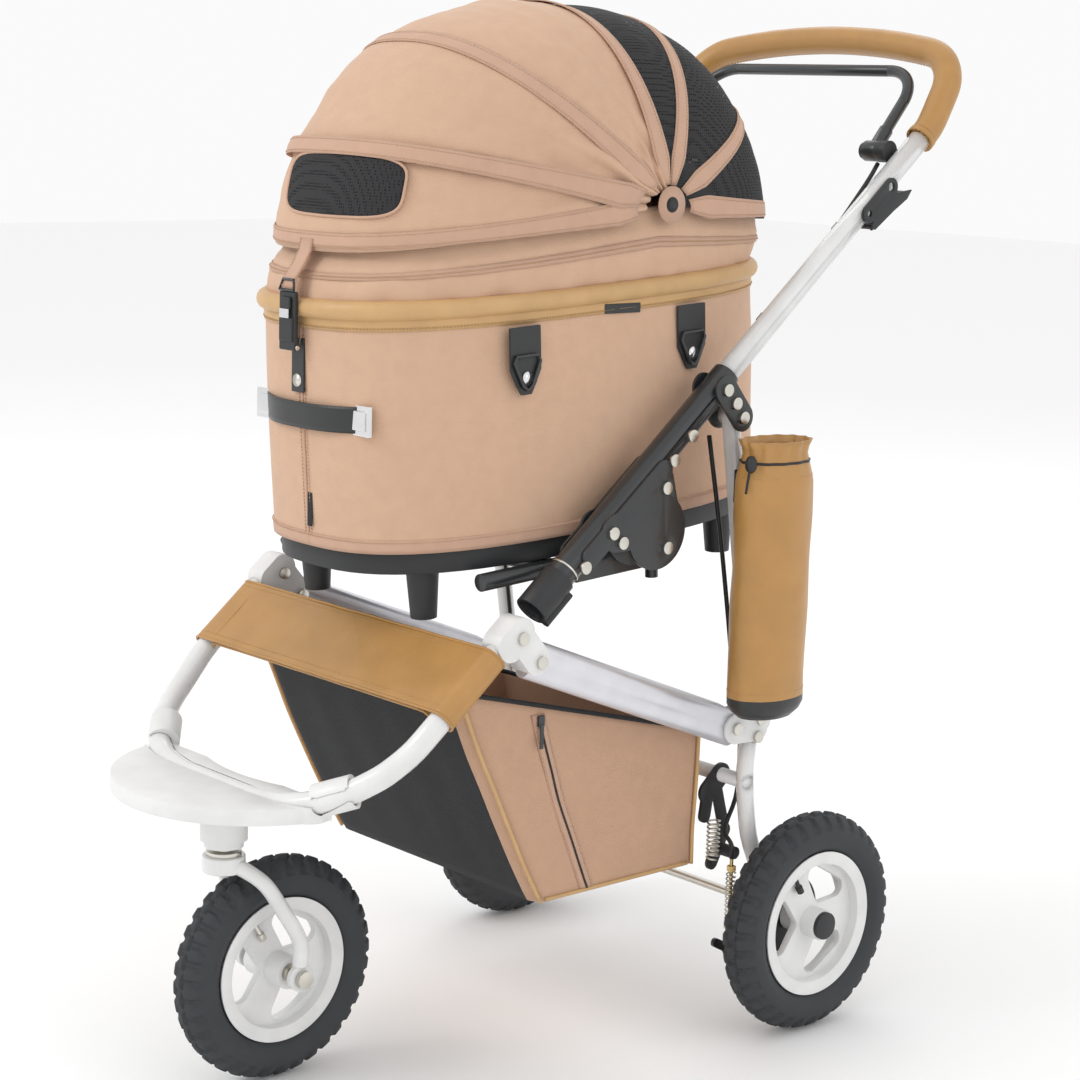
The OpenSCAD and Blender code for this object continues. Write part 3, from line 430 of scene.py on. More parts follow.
def on_cot(x, y, h):
    """A point in the tilted cot's own frame."""
    c, s = math.cos(COT_TILT), math.sin(COT_TILT)
    return at(x, COT_Y + y * c - h * s, COT_Z + y * s + h * c)


OUTLINE = oval_even(220)


def cot_ring(h, out):
    return [on_cot(x + nx * out, y + ny * out, h) for x, y, nx, ny in OUTLINE]


def cot_wall():
    rows = []
    steps = 30
    for i in range(steps + 1):
        f = i / steps
        h = WALL_LOW + (WALL_HIGH - WALL_LOW) * f
        row = []
        for x, y, nx, ny in OUTLINE:
            soft = 1.4 * math.sin(math.pi * f) + 1.1 * wander(x, y, h, 0.012, 3.1) * math.sin(math.pi * f)
            row.append(on_cot(x + nx * soft, y + ny * soft, h))
        rows.append(row)
    o = sheet_object("cot_wall", rows, "rose", 2.4, close_columns=True)
    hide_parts("cot_body")
    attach(o, "cot")
    hem = [cot_ring(WALL_LOW + h, 1.8 + 0.5 * math.sin(math.pi * h / 14)) for h in (0.5, 5, 9.5, 14)]
    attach(sheet_object("cot_hem", hem, "rose_band", 1.0, close_columns=True), "cot")
    stitches("cot_hem_stitches", [cot_ring(WALL_LOW + 12, 3.2), cot_ring(WALL_HIGH - 7, 2.6)], "cot")
    path = [on_cot(4, -COT_A - 1.6 - 1.2 * math.sin(math.pi * (h - 22) / 230), h) for h in range(24, 250, 6)]
    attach(tube("cot_front_piping", path, 1.5, "rose_band", 8), "cot")
    lines = [[p + Vector((w * MM, -0.0004, 0)) for p in path] for w in (-5, 5)]
    stitches("cot_front_stitches", lines, "cot")
    label = [box_parts(on_cot(9, -COT_A - 3.0, 60), Vector((1, 0, 0)), Vector((0, 1, 0)), Vector((0, 0, 1)),
                       (7, 1.0, 34))]
    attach(joined("cot_label", label, "black_cloth", False), "cot")


cot_wall()


def cot_roll():
    """The stuffed roll round the cot's mouth, with its stitched seam below."""
    path = cot_ring(WALL_HIGH + 10.8, 0)
    shape = lambda i, k: 1 + 0.035 * wander(i * 0.35, k * 0.2, 0, 1, 5.0)
    o = tube("cot_rim_roll", path, 9.9, "trim", 16, True, shape)
    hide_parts("cot_rim")
    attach(o, "cot")
    tape = [cot_ring(WALL_HIGH + h, 2.0) for h in (-9, -4, 1, 4)]
    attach(sheet_object("cot_rim_tape", tape, "trim", 1.4, close_columns=True), "cot")
    stitches("cot_rim_stitches", [cot_ring(WALL_HIGH - 6, 3.3)], "cot", "thread_tan")


cot_roll()

# ---- Canopy ----
PIVOT_Y, PIVOT_Z = -171.0, 900.0
CANOPY_B = 166.0
ANGLES = (-8.5, 9.5, 38, 79, 107.5, 151, 184.8)
RADII = (338, 320, 268, 206, 205, 219, 238)
SQUARE = (2.75, 2.7, 2.4, 2.3, 2.3, 2.5, 2.75)


def dome(angle, t, inset=0.0):
    """A point of the canopy: angle about the pivot from the front, t (degrees) from side to side."""
    n = float(np.interp(angle, ANGLES, SQUARE))
    c, s = math.cos(math.radians(t)), math.sin(math.radians(t))
    x = (CANOPY_B - inset) * math.copysign(abs(c) ** (2 / n), c)
    r = (float(np.interp(angle, ANGLES, RADII)) - inset) * max(s, 0) ** (2 / n)
    a = math.radians(angle)
    return at(x, PIVOT_Y - r * math.cos(a), PIVOT_Z + r * math.sin(a))


def spread_t(count, edge=2.5):
    return [edge + (180 - 2 * edge) * j / (count - 1) for j in range(count)]


def hood_sheet(name, first, last, inset, body, look, nodes_, ruffle=1.0, rows_=34, columns=96, thick=1.3):
    rows = []
    for i in range(rows_):
        f = i / (rows_ - 1)
        angle = first + (last - first) * f
        row = []
        for t in spread_t(columns):
            near = abs(t - 90) / 90
            calm = math.sin(math.pi * f) ** 0.7
            fold = ruffle * calm * (2.0 * near ** 2 * math.sin(f * 19 + 3 * wander(t * 0.1, f, 0, 1))
                                    - 2.4 * math.sin(math.pi * f) * (1 - near ** 2)
                                    + 2.6 * wander(angle * 0.10, t * 0.035, 0, 1, 7.7)
                                    + 1.3 * wander(angle * 0.3, t * 0.02, 0, 1, 1.3))
            row.append(dome(angle, t, inset - fold))
        rows.append(row)
    o = sheet_object(name, rows, look, thick)
    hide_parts(*nodes_)
    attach(o, body)
    return o


def hood_strip(name, angle, half, lift, inset, body, look, edge=4, seams=True, thick=1.0):
    """A band over the canopy along one hoop, with a row of stitches along each edge."""
    rows = []
    ts = spread_t(110, edge)
    for k in (-1, -0.5, 0, 0.5, 1):
        row = []
        for t in ts:
            reach = max(40.0, float(np.interp(angle, ANGLES, RADII)) * math.sin(math.radians(t)))
            turn = math.degrees(half * k / reach)
            row.append(dome(angle + turn, t, inset - lift - 0.5 * (1 - k * k)))
        rows.append(row)
    o = sheet_object(name, rows, look, thick)
    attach(o, body)
    if seams:
        paths = []
        for k in (-0.72, 0.72):
            path = []
            for t in ts:
                reach = max(40.0, float(np.interp(angle, ANGLES, RADII)) * math.sin(math.radians(t)))
                path.append(dome(angle + math.degrees(half * k / reach), t, inset - lift - 0.9))
            paths.append(path)
        stitches(name + "_stitches", paths, body)
    return o


def hood():
    hood_sheet("hood_front_cloth", -8.5, 37.6, 0.6, "canopy_hood", "rose", ["canopy_front"], 1.7, 44)
    hood_sheet("hood_middle_cloth", 38.4, 78.6, 2.8, "canopy_mid", "rose", ["canopy_middle"], 1.5)
    hood_sheet("hood_rear_net", 79.4, 185.6, 4.8, "cot", "net", ["canopy_rear"], 0.25, 50, 96, 0.8)
    hood_strip("hood_band_low", -6.6, 7, 2.2, 0.6, "canopy_hood", "rose_band")
    hood_strip("hood_band_first", 9.5, 8.5, 3.0, 0.6, "canopy_hood", "rose_band")
    hood_strip("hood_band_second", 36.4, 8.5, 1.6, 0.6, "canopy_hood", "rose_band")
    hood_strip("hood_band_third", 77.0, 8.5, 1.6, 2.8, "canopy_mid", "rose_band")
    hood_strip("net_strap_first", 107.5, 8, 0.9, 4.8, "cot", "rose_band")
    hood_strip("net_strap_second", 151, 8, 0.9, 4.8, "cot", "rose_band")
    hood_strip("net_edge", 182.5, 8, 0.6, 4.8, "cot", "rose_band")


hood()


def hood_window():
    """A rounded mesh window in the front of the hood, with a bound edge and a near-black sheet under the net as
    painted shade of the hood's inside.
    """
    low, high, first, last = -2.6, 8.2, 60.0, 101.0
    rows = []
    edge = []
    count = 64
    rings = 10
    for i in range(rings + 1):
        row = []
        for k in range(count):
            a = 2 * math.pi * k / count
            c, s = math.cos(a), math.sin(a)
            u = math.copysign(abs(c) ** 0.5, c) * i / rings
            v = math.copysign(abs(s) ** 0.5, s) * i / rings
            row.append(dome((low + high) / 2 + v * (high - low) / 2,
                            (first + last) / 2 + u * (last - first) / 2, -0.9))
        rows.append(row)
        edge = row
    o = sheet_object("hood_window_net", rows, "net", 0.5, close_columns=True)
    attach(o, "canopy_hood")
    # A near-black sheet just under the net: painted shade of the hood's inside, seen through the holes.
    shade_rows = [[p.lerp(at(0, PIVOT_Y, PIVOT_Z), 0.001) for p in r] for r in rows]
    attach(sheet_object("hood_window_painted_shade", shade_rows, "painted_shade", 0.2, close_columns=True), "canopy_hood")
    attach(tube("hood_window_binding", edge, 1.5, "rose_band", 8, True), "canopy_hood")


hood_window()


# ---- Skirt between the roll and the hood ----
def skirt_high(y):
    slope = -math.tan(math.radians(ANGLES[0])) if y < PIVOT_Y else -0.084
    return PIVOT_Z - 2.5 + (y - PIVOT_Y) * slope


def skirt():
    low_h = WALL_HIGH + 18
    rows = []
    steps = 16
    outline = oval_even(300, COT_A - 3, COT_B - 2)
    for i in range(steps + 1):
        f = i / steps
        row = []
        for n, (x, y, nx, ny) in enumerate(outline):
            foot = on_cot(x, y, low_h)
            ruffle = (1 - f) * (1.2 * math.sin(n * 0.55 + 2.5 * wander(x, y, 0, 0.01, 9.0))
                                + 1.8 * wander(x, y, f * 60, 0.03, 4.0))
            belly = 3.2 * math.sin(math.pi * min(1, f * 1.2)) - 4.5 * max(0, f - 0.72) / 0.28
            out = belly + ruffle
            top = at(x, y + COT_Y, skirt_high(y + COT_Y))
            p = foot.lerp(top, f)
            row.append(p + MM * out * Vector((nx, ny, 0)))
        rows.append(row)
    lip = []
    for k, (x, y, nx, ny) in enumerate(outline):
        rise = 13 * min(1, abs(y + COT_Y - PIVOT_Y) / 110)
        lip.append(rows[-1][k] + MM * Vector((-2.0 * nx, -2.0 * ny, rise)))
    rows.append(lip)
    o = sheet_object("skirt_cloth", rows, "rose", 1.2, close_columns=True)
    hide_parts("canopy_skirt")
    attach(o, "cot")
    zips = []
    for lift, out in ((0.46, 6.4), (0.53, 6.8), (0.60, 6.4)):
        zips.append([rows[0][n].lerp(rows[-2][n], lift) + MM * out * Vector((q[2], q[3], 0))
                     for n, q in enumerate(outline)])
    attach(sheet_object("skirt_zip_tape", zips, "rose_band", 1.0, close_columns=True), "cot")
    teeth = [p + MM * 0.8 * Vector((q[2], q[3], 0)) for p, q in zip(zips[1], outline)]
    stitches("skirt_zip_teeth", [teeth + teeth[:1]], "cot", "thread", 2.2, 0.8)
    stitches("skirt_stitches", [z + z[:1] for z in (zips[0], zips[2])], "cot")
    for side in (1, -1):
        centre = at(side * (CANOPY_B + 1.6), PIVOT_Y, PIVOT_Z)
        patch = disc_parts(centre, Vector((1, 0, 0)), 19, 1.2, 28)
        stud = disc_parts(centre + Vector((side * 1.6 * MM, 0, 0)), Vector((1, 0, 0)), 6.5, 3, 20)
        name = "right" if side > 0 else "left"
        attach(joined("hood_patch_" + name, [patch], "rose_band"), "cot")
        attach(joined("hood_stud_" + name, [stud], "black_plastic"), "cot")


skirt()


# ---- Straps and the clasp on the cot ----
def band_on_cot(name, angles, low, high, out, look, thick=2.0, count=24):
    """A strap round part of the cot's wall between two heights."""
    rows = []
    for h in (low, low + 0.15 * (high - low), (low + high) / 2, high - 0.15 * (high - low), high):
        row = []
        for i in range(count + 1):
            t = math.radians(angles[0] + (angles[1] - angles[0]) * i / count)
            x, y = oval(t)
            bow = out + 5.0 * math.sin(math.pi * i / count)
            row.append(on_cot(x, y - bow, h))
        rows.append(row)
    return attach(sheet_object(name, rows, look, thick), "cot")


def cot_fittings():
    low, high = 143, 169
    strap = band_on_cot("lift_strap", (248, 292), low, high, 2.4, "black_leather", 2.4)
    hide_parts("cot_straps")
    clips = []
    for t in (247.0, 293.0):
        x, y = oval(math.radians(t))
        centre = on_cot(x, y - 4.5, (low + high) / 2)
        clips.append(box_parts(centre, Vector((1, 0, 0)), Vector((0, 1, 0)), Vector((0, 0, 1)), (30, 5, 31)))
        clips.append(box_parts(centre + Vector((0, -3.2 * MM, 0)), Vector((1, 0, 0)),
                               Vector((0, 1, 0)), Vector((0, 0, 1)), (20, 2.4, 20)))
    soften(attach(joined("lift_strap_clips", clips, "chrome", False), "cot"), 1.2)
    tabs, rings, studs = [], [], []
    for sx in (-1, 1):
        for y in (-128, 102):
            face = sx * (COT_B + 1.6)
            outline = [(-19, 62), (-19, 20), (-12, 6), (-6, -4), (6, -4), (12, 6), (19, 20), (19, 62)]
            points, faces = [], []
            for lift in (0, 2.2):
                points += [on_cot(face + sx * lift, y + a, 178 + b) for a, b in outline]
            n = len(outline)
            faces = [list(range(n)), [n + k for k in range(n)][::-1]]
            faces += [[k, (k + 1) % n, n + (k + 1) % n, n + k] for k in range(n)]
            tabs.append((points, faces))
            loop = [(-14, 34), (14, 34), (17, 28), (6, 4), (0, 0), (-6, 4), (-17, 28)]
            ring = [on_cot(face + sx * 4.6, y + a, 178 + b) for a, b in loop]
            rings.append(tube_parts(ring, 1.7, 8, True))
            studs.append(disc_parts(on_cot(face + sx * 3.2, y, 178 + 12), Vector((1, 0, 0)), 6.5, 3))
    soften(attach(joined("hanging_tabs", tabs, "black_leather", False), "cot"), 0.8)
    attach(joined("hanging_rings", rings, "black_metal"), "cot")
    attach(joined("hanging_studs", studs, "chrome"), "cot")
    x, y, z = Vector((1, 0, 0)), Vector((0, 1, 0)), Vector((0, 0, 1))
    lower = [box_parts(on_cot(0, -COT_A - 3.4, 205), x, y, z, (20, 2.6, 54))]
    soften(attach(joined("clasp_strap", lower, "black_leather", False), "cot"), 0.8)
    stud = [disc_parts(on_cot(0, -COT_A - 5.4, 190), y, 6.5, 2.4)]
    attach(joined("clasp_strap_stud", stud, "steel"), "cot")
    fall = ((-506.5, 862), (-509.5, 850), (-517, 837), (-527, 824), (-530.5, 811))
    tab = [[at(dx, ty, tz) for dx in (-10, -5, 0, 5, 10)] for ty, tz in fall]
    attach(sheet_object("clasp_hood_tab", tab, "rose_band", 1.8), "canopy_hood")
    edges = [[row[k] + Vector((0, -0.0012, 0)) for row in tab] for k in (0, 4)]
    stitches("clasp_hood_tab_stitches", edges, "canopy_hood")
    loop_path = [at(dx, dy, dz) for dx, dy, dz in ((-12, -531.5, 812), (12, -531.5, 812),
                                                   (9, -529.5, 822), (-9, -529.5, 822))]
    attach(tube("clasp_loop", loop_path, 1.5, "black_metal", 8, True), "canopy_hood")


def soften(o, width):
    """Rounded edges, in millimetres."""
    bevel = o.modifiers.new("edges", "BEVEL")
    bevel.width = width * MM
    bevel.segments = 3
    bevel.angle_limit = math.radians(40)
    return o


cot_fittings()


def clasp():
    low = 224
    x, y, z = Vector((1, 0, 0)), Vector((0, 1, 0)), Vector((0, 0, 1))
    front = -COT_A - 13
    body = [box_parts(on_cot(0, front, low + 26), x, y, z, (26, 5, 58)),
            box_parts(on_cot(0, front - 3.4, low + 18), x, y, z, (22, 3, 24)),
            box_parts(on_cot(0, front - 3.0, low + 44), x, y, z, (16, 3, 12))]
    o = soften(joined("clasp_body", body, "black_plastic", False), 1.4)
    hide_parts("front_buckle")
    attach(o, "clasp")
    pin = [tube_parts([on_cot(-14, front - 0.5, low), on_cot(14, front - 0.5, low)], 2.4, 12)]
    plate = [box_parts(on_cot(0, front - 5.2, low + 34), x, y, z, (15, 1.4, 9))]
    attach(soften(joined("clasp_plate", pin + plate, "chrome", False), 0.4), "clasp")


clasp()

# ---- Basket ----
BASKET_B = 169.0
BASKET_LOW = 187.5


def basket_top(y):
    return 336 + (-96 - y) * 0.2588


def basket_outline(count=200):
    """The basket's rounded plan: x, and how far from rear (0) to front (1)."""
    corner = 16.0
    half_y = 0.5
    pts = []
    plan = [(BASKET_B, 0.0), (BASKET_B, 1.0), (-BASKET_B, 1.0), (-BASKET_B, 0.0)]
    length = 240.0
    sides = [((BASKET_B, corner), (BASKET_B, length - corner)),
             ((BASKET_B - corner, length), (-BASKET_B + corner, length)),
             ((-BASKET_B, length - corner), (-BASKET_B, corner)),
             ((-BASKET_B + corner, 0), (BASKET_B - corner, 0))]
    centres = [(BASKET_B - corner, length - corner, 0), (-BASKET_B + corner, length - corner, 90),
               (-BASKET_B + corner, corner, 180), (BASKET_B - corner, corner, 270)]
    for (a, b), (cx, cy, start) in zip(sides, centres):
        steps = max(2, int(math.dist(a, b) / 6))
        pts += [(a[0] + (b[0] - a[0]) * i / steps, a[1] + (b[1] - a[1]) * i / steps)
                for i in range(steps)]
        pts += [(cx + corner * math.cos(math.radians(start + 90 * i / 5)),
                 cy + corner * math.sin(math.radians(start + 90 * i / 5))) for i in range(5)]
    return [(x, y / length) for x, y in pts]


def basket():
    plan = basket_outline()
    n = len(plan)
    rows = []
    floor_steps, wall_steps = 8, 22

    def wall_point(x, f, v):
        """v runs from the floor (0) to the mouth (1)."""
        rear = -101 + 8 * v
        front = -330 - 118 * v ** 0.95
        y = rear + (front - rear) * f
        top_y = -93 + (-448 + 93) * f
        z = BASKET_LOW + (basket_top(top_y) - BASKET_LOW) * v
        mid = math.sin(math.pi * v)
        side = abs(x) / BASKET_B
        pull = mid * (3.2 * side ** 6 * math.sin(math.pi * f) - 2.0 * wander(x, y, z, 0.018, 2.0)
                      - 1.6 * math.sin((y + 0.9 * z) * 0.045) * side ** 6)
        gather = 2.2 * (1 - v) * v * math.sin(x * 0.09) * (f ** 8)
        return at(x - math.copysign(1, x) * pull, y + gather - (3 * mid * f ** 10), z)

    for i in range(floor_steps):
        s = (i + 0.35) / floor_steps
        rows.append([at(x * s, -215 + (-101 - 229 * f + 215) * s, BASKET_LOW + 1.2 * wander(x * s, f * 9, i, 0.03))
                     for x, f in plan])
    for i in range(wall_steps + 1):
        rows.append([wall_point(x, f, i / wall_steps) for x, f in plan])
    o = sheet_object("basket_cloth", rows, "basket", 1.8, close_columns=True)
    o.data.materials.append(MAT["black_cloth"])
    for p in o.data.polygons:
        ring, column = divmod(p.index, n)
        x, f = plan[column]
        if f > 0.985 and abs(x) < BASKET_B - 14 and ring >= floor_steps:
            p.material_index = 1
    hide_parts("basket")
    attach(o, "chassis")
    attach(tube("basket_binding", rows[-1], 2.6, "black_cloth", 8, True), "chassis")
    for sign, name in ((1, "right"), (-1, "left")):
        seam = [wall_point(sign * BASKET_B, 0.985, v / 24) + Vector((sign * 1.2 * MM, 0, 0)) for v in range(25)]
        back = [wall_point(sign * BASKET_B, 0.03, v / 24) + Vector((sign * 1.2 * MM, 0, 0)) for v in range(25)]
        foot = [wall_point(sign * BASKET_B, 0.06 + 0.9 * v / 24, 0.0) + Vector((sign * 0.8 * MM, 0, 0.002))
                for v in range(25)]
        edges = [tube_parts(line, 2.1, 8) for line in (seam, back, foot)]
        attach(joined("basket_piping_" + name, edges, "trim"), "chassis")
        zip_f = 0.70
        line = [wall_point(sign * BASKET_B, zip_f, 0.02 + 0.93 * v / 30) for v in range(31)]
        tape = [[p + Vector((sign * 1.7 * MM, w * MM, 0)) for p in line] for w in (-9, -4, 0, 4, 9)]
        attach(sheet_object("basket_zip_tape_" + name, tape, "rose_band", 0.9), "chassis")
        teeth = [p + Vector((sign * 2.6 * MM, 0, 0)) for p in line]
        stitches("basket_zip_teeth_" + name, [teeth], "chassis", "black_plastic", 2.2, 1.3)
        stitches("basket_zip_stitches_" + name,
                 [[p + Vector((sign * 2.3 * MM, w * MM, 0)) for p in line] for w in (-7.5, 7.5)], "chassis")
        top = teeth[-2]
        slider = [box_parts(top + Vector((sign * 1.8 * MM, 0, 0)), Vector((1, 0, 0)), Vector((0, 1, 0)),
                            Vector((0, 0, 1)), (3, 8, 12)),
                  box_parts(top + Vector((sign * 3.4 * MM, 0, -0.016)), Vector((1, 0, 0)),
                            Vector((0, 1, 0)), Vector((0, 0, 1)), (1.4, 5, 26))]
        soften(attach(joined("basket_zip_slider_" + name, slider, "black_metal", False), "chassis"), 0.5)


basket()

# ---- Bottle bag ----
BAG_LOW, BAG_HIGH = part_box("bottle_bag")


def bottle_bag():
    mid_x = (BAG_HIGH.x - 0.033)
    mid_y = (BAG_LOW.y + BAG_HIGH.y) / 2
    low, high = BAG_LOW.z, BAG_HIGH.z
    rows = []
    count, steps = 84, 40
    for i in range(steps + 1):
        f = i / steps
        z = low + (high - low) * f
        base = 1 - 0.30 * max(0, 1 - f / 0.06) ** 2
        gather = 1 - 0.20 * max(0, (f - 0.86) / 0.10) if f < 0.96 else 0.8 + 0.12 * (f - 0.96) / 0.04
        row = []
        for k in range(count):
            a = 2 * math.pi * k / count
            frill = 0.05 * max(0, (f - 0.84) / 0.16) * math.sin(a * 13)
            soft = (0.030 * wander(math.cos(a) * 2, math.sin(a) * 2, f * 5, 1, 6.0)
                    + 0.014 * math.sin(a * 2 + f * 16) * math.sin(math.pi * f))
            r = base * gather * (1 + frill + soft) * 0.97
            row.append(Vector((mid_x + 0.032 * r * math.cos(a), mid_y + 0.049 * r * math.sin(a), z)))
        rows.append(row)
    inner = [[p.lerp(Vector((mid_x, mid_y, p.z)), 0.9) for p in rows[0]]]
    o = sheet_object("bag_cloth", inner + rows, "tan", 1.4, close_columns=True)
    o.data.materials.append(MAT["black_leather"])
    for p in o.data.polygons:
        if p.index // count < 4:
            p.material_index = 1
    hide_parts("bottle_bag")
    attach(o, "struts")
    neck = rows[int(steps * 0.93)]
    cord = [p + (p - Vector((mid_x, mid_y, p.z))) * 0.02 for p in neck]
    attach(tube("bag_drawcord", cord, 1.5, "cable", 8, True), "struts")
    seams = [[p + (p - Vector((mid_x, mid_y, p.z))) * 0.02 for p in rows[i]] for i in (4, int(steps * 0.88))]
    stitches("bag_stitches", [s + s[:1] for s in seams], "struts", "thread_tan")
    side = neck[int(count * 0.80)]
    out = (side - Vector((mid_x, mid_y, side.z))).normalized()
    lock = [ball_parts(side + out * 0.006, 6.5, 1.4)]
    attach(joined("bag_cord_lock", lock, "black_plastic"), "struts")
    tail = [side + out * 0.007 + Vector((0, -0.001 * k, -0.006 * k)) for k in range(6)]
    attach(tube("bag_cord_tail", tail, 1.3, "cable", 8), "struts")
    hook_x = BAG_LOW.x
    strap = [box_parts(Vector((hook_x + 0.010, mid_y, high - 0.038)), Vector((1, 0, 0)), Vector((0, 1, 0)),
                       Vector((0, 0, 1)), (18, 24, 2.4)),
             box_parts(Vector((hook_x + 0.0016, mid_y, high - 0.055)), Vector((1, 0, 0)), Vector((0, 1, 0)),
                       Vector((0, 0, 1)), (2.4, 24, 34))]
    soften(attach(joined("bag_strap", strap, "black_leather", False), "struts"), 0.7)


bottle_bag()

# ---- Long tube's frame, footrest and handle ----
SLOPE = math.radians(40)
TUBE_Y, TUBE_Z = -400.0, 487.0
HALF = 200.0


def on_tube(x, s, p):
    """s runs up the long tube from the front bracket, p stands off it."""
    return at(x, TUBE_Y + s * math.cos(SLOPE) - p * math.sin(SLOPE),
              TUBE_Z + s * math.sin(SLOPE) + p * math.cos(SLOPE))


def footrest():
    """A padded sleeve pulled over both front tubes."""
    first, last, r = -117.0, -34.0, 13.9
    rows = []
    steps = 22
    for i in range(steps + 1):
        f = i / steps
        s = first + (last - first) * f
        row = []
        for k in range(24):
            a = math.radians(-90 + 180 * k / 23)
            row.append((HALF + r * math.cos(a), r * math.sin(a)))
        across = [HALF - 2 * HALF * k / 40 for k in range(1, 40)]
        row += [(x, r) for x in across]
        for k in range(24):
            a = math.radians(90 + 180 * k / 23)
            row.append((-HALF + r * math.cos(a), r * math.sin(a)))
        row += [(-x, -r) for x in across]
        ring = []
        for x, p in row:
            span = max(0.0, 1 - (x / HALF) ** 2) if abs(x) < HALF else 0.0
            flat = min(1.0, span * 5)
            sag = -2.2 * span * math.sin(math.pi * f) if p > 0 else (2 * r - 4.5) * flat
            crease = 0.9 * wander(x, s, p, 0.03, 8.0) * min(1, span * 3)
            ring.append(on_tube(x, s, p + sag + crease))
        rows.append(ring)
    o = sheet_object("footrest_sleeve", rows, "tan", 1.6, close_columns=True)
    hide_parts("footrest_cover")
    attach(o, "chassis")
    stitches("footrest_stitches", [[p + Vector((0, 0, 0.0011)) for p in rows[i][2:86]] for i in (2, steps - 2)],
             "chassis", "thread_tan")
    lines = [[on_tube(side * (HALF - 22), s, r + 0.4) for s in range(-115, -35, 4)] for side in (-1, 1)]
    stitches("footrest_side_stitches", lines, "chassis", "thread_tan")
    binding = [rows[0], rows[-1]]
    parts = [tube_parts(b, 1.5, 8, True) for b in binding]
    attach(joined("footrest_binding", parts, "tan"), "chassis")


footrest()

BEND_AT, BEND, BEND_R = 772.0, math.radians(20), 60.0
GRIP_ARM, CORNER_R, BOW_R = 41.0, 56.0, 804.0


def handle_path():
    """The grip's centre line from the right side, round the bowed cross bar, to the left side."""
    cut = BEND_R * math.tan(BEND / 2)
    side = [on_tube(HALF, s, 0) for s in np.linspace(BEND_AT - 22, BEND_AT - cut, 4)]
    for k in range(1, 7):
        a = SLOPE - math.pi / 2 + BEND * k / 6
        mid = (TUBE_Y + (BEND_AT - cut) * math.cos(SLOPE) - BEND_R * math.sin(SLOPE),
               TUBE_Z + (BEND_AT - cut) * math.sin(SLOPE) + BEND_R * math.cos(SLOPE))
        side.append(at(HALF, mid[0] + BEND_R * math.cos(a), mid[1] + BEND_R * math.sin(a)))
    slope = SLOPE + BEND
    base = (TUBE_Y + BEND_AT * math.cos(SLOPE), TUBE_Z + BEND_AT * math.sin(SLOPE))

    def up(x, s):
        return at(x, base[0] + s * math.cos(slope), base[1] + s * math.sin(slope))

    side += [up(HALF, s) for s in np.linspace(cut + 4, GRIP_ARM, 5)]
    turn = math.asin((HALF - CORNER_R) / (BOW_R - CORNER_R))
    for k in range(1, 15):
        a = (math.pi / 2 - turn) * k / 14
        side.append(up(HALF - CORNER_R + CORNER_R * math.cos(a), GRIP_ARM + CORNER_R * math.sin(a)))
    low = GRIP_ARM - (BOW_R - CORNER_R) * math.cos(turn)
    for k in range(1, 12):
        a = turn * (1 - k / 11)
        side.append(up(BOW_R * math.sin(a), low + BOW_R * math.cos(a)))
    mirror = [Vector((2 * MID_X - p.x, p.y, p.z)) for p in side[:-1]]
    return side + mirror[::-1]


def handle_grip():
    line = handle_path()
    fine = resample(line, 5)
    shape = lambda i, k: 1 + 0.02 * wander(i * 0.25, k * 0.9, 0, 1, 1.5)
    o = tube("grip_leather", fine, 15.6, "tan", 24, False, shape)
    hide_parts("handle_grip")
    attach(o, "upper_frame")
    seam = []
    for p, d, across in frames(fine):
        down = Vector((0, 0, -1)) - d * d.dot(Vector((0, 0, -1)))
        inward = Vector((MID_X - p.x, 0, 0)) - d * d.dot(Vector((MID_X - p.x, 0, 0)))
        way = down.normalized() * 0.9 + inward * 3
        seam.append(p + way.normalized() * 0.0159)
    stitches("grip_stitches", [seam], "upper_frame", "thread_tan", 4.5, 0.55)
    ends = [tube_parts([line[0], line[2]], 16.4, 24), tube_parts([line[-1], line[-3]], 16.4, 24)]
    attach(joined("grip_collars", ends, "tan"), "upper_frame")


handle_grip()


# ---- Wheels ----
def smooth_path(points, count=8):
    """A rounded line through the points (Catmull-Rom)."""
    p = [points[0] * 2 - points[1]] + points + [points[-1] * 2 - points[-2]]
    out = []
    for i in range(1, len(p) - 2):
        for k in range(count):
            t = k / count
            a, b, c, d = p[i - 1:i + 3]
            out.append(0.5 * (2 * b + (c - a) * t + (2 * a - 5 * b + 4 * c - d) * t ** 2
                              + (3 * b - a - 3 * c + d) * t ** 3))
    return out + [points[-1]]


def tyre(name, node_name, body, tube_r=0.023):
    low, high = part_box(node_name)
    centre = (low + high) / 2
    r_out = (high.z - low.z) / 2 - 0.0004
    ring = r_out - tube_r
    major, minor = 216, 48
    points = []
    for i in range(major):
        a = 2 * math.pi * i / major
        for k in range(minor):
            b = 2 * math.pi * k / minor
            off = abs((math.degrees(b) + 180) % 360 - 180)
            cut = 0.0
            if off < 52:
                lane = 0 if off < 14 else 3
                groove = (i + lane) % 6 < 2 or 12 < off < 17
                cut = 0.0030 if groove else 0.0
            elif off < 68:
                cut = 0.0022 if (i + 3) % 6 < 3 else 0.0
            elif 100 < off < 108:
                cut = -0.0005
            r = tube_r - cut
            out = ring + r * math.cos(b)
            points.append(centre + Vector((r * math.sin(b), out * math.cos(a), out * math.sin(a))))
    o = mesh_object(name, points, grid_faces(major, minor, True, True), "rubber")
    o.data.set_sharp_from_angle(angle=math.radians(32))
    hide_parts(node_name)
    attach(o, body)


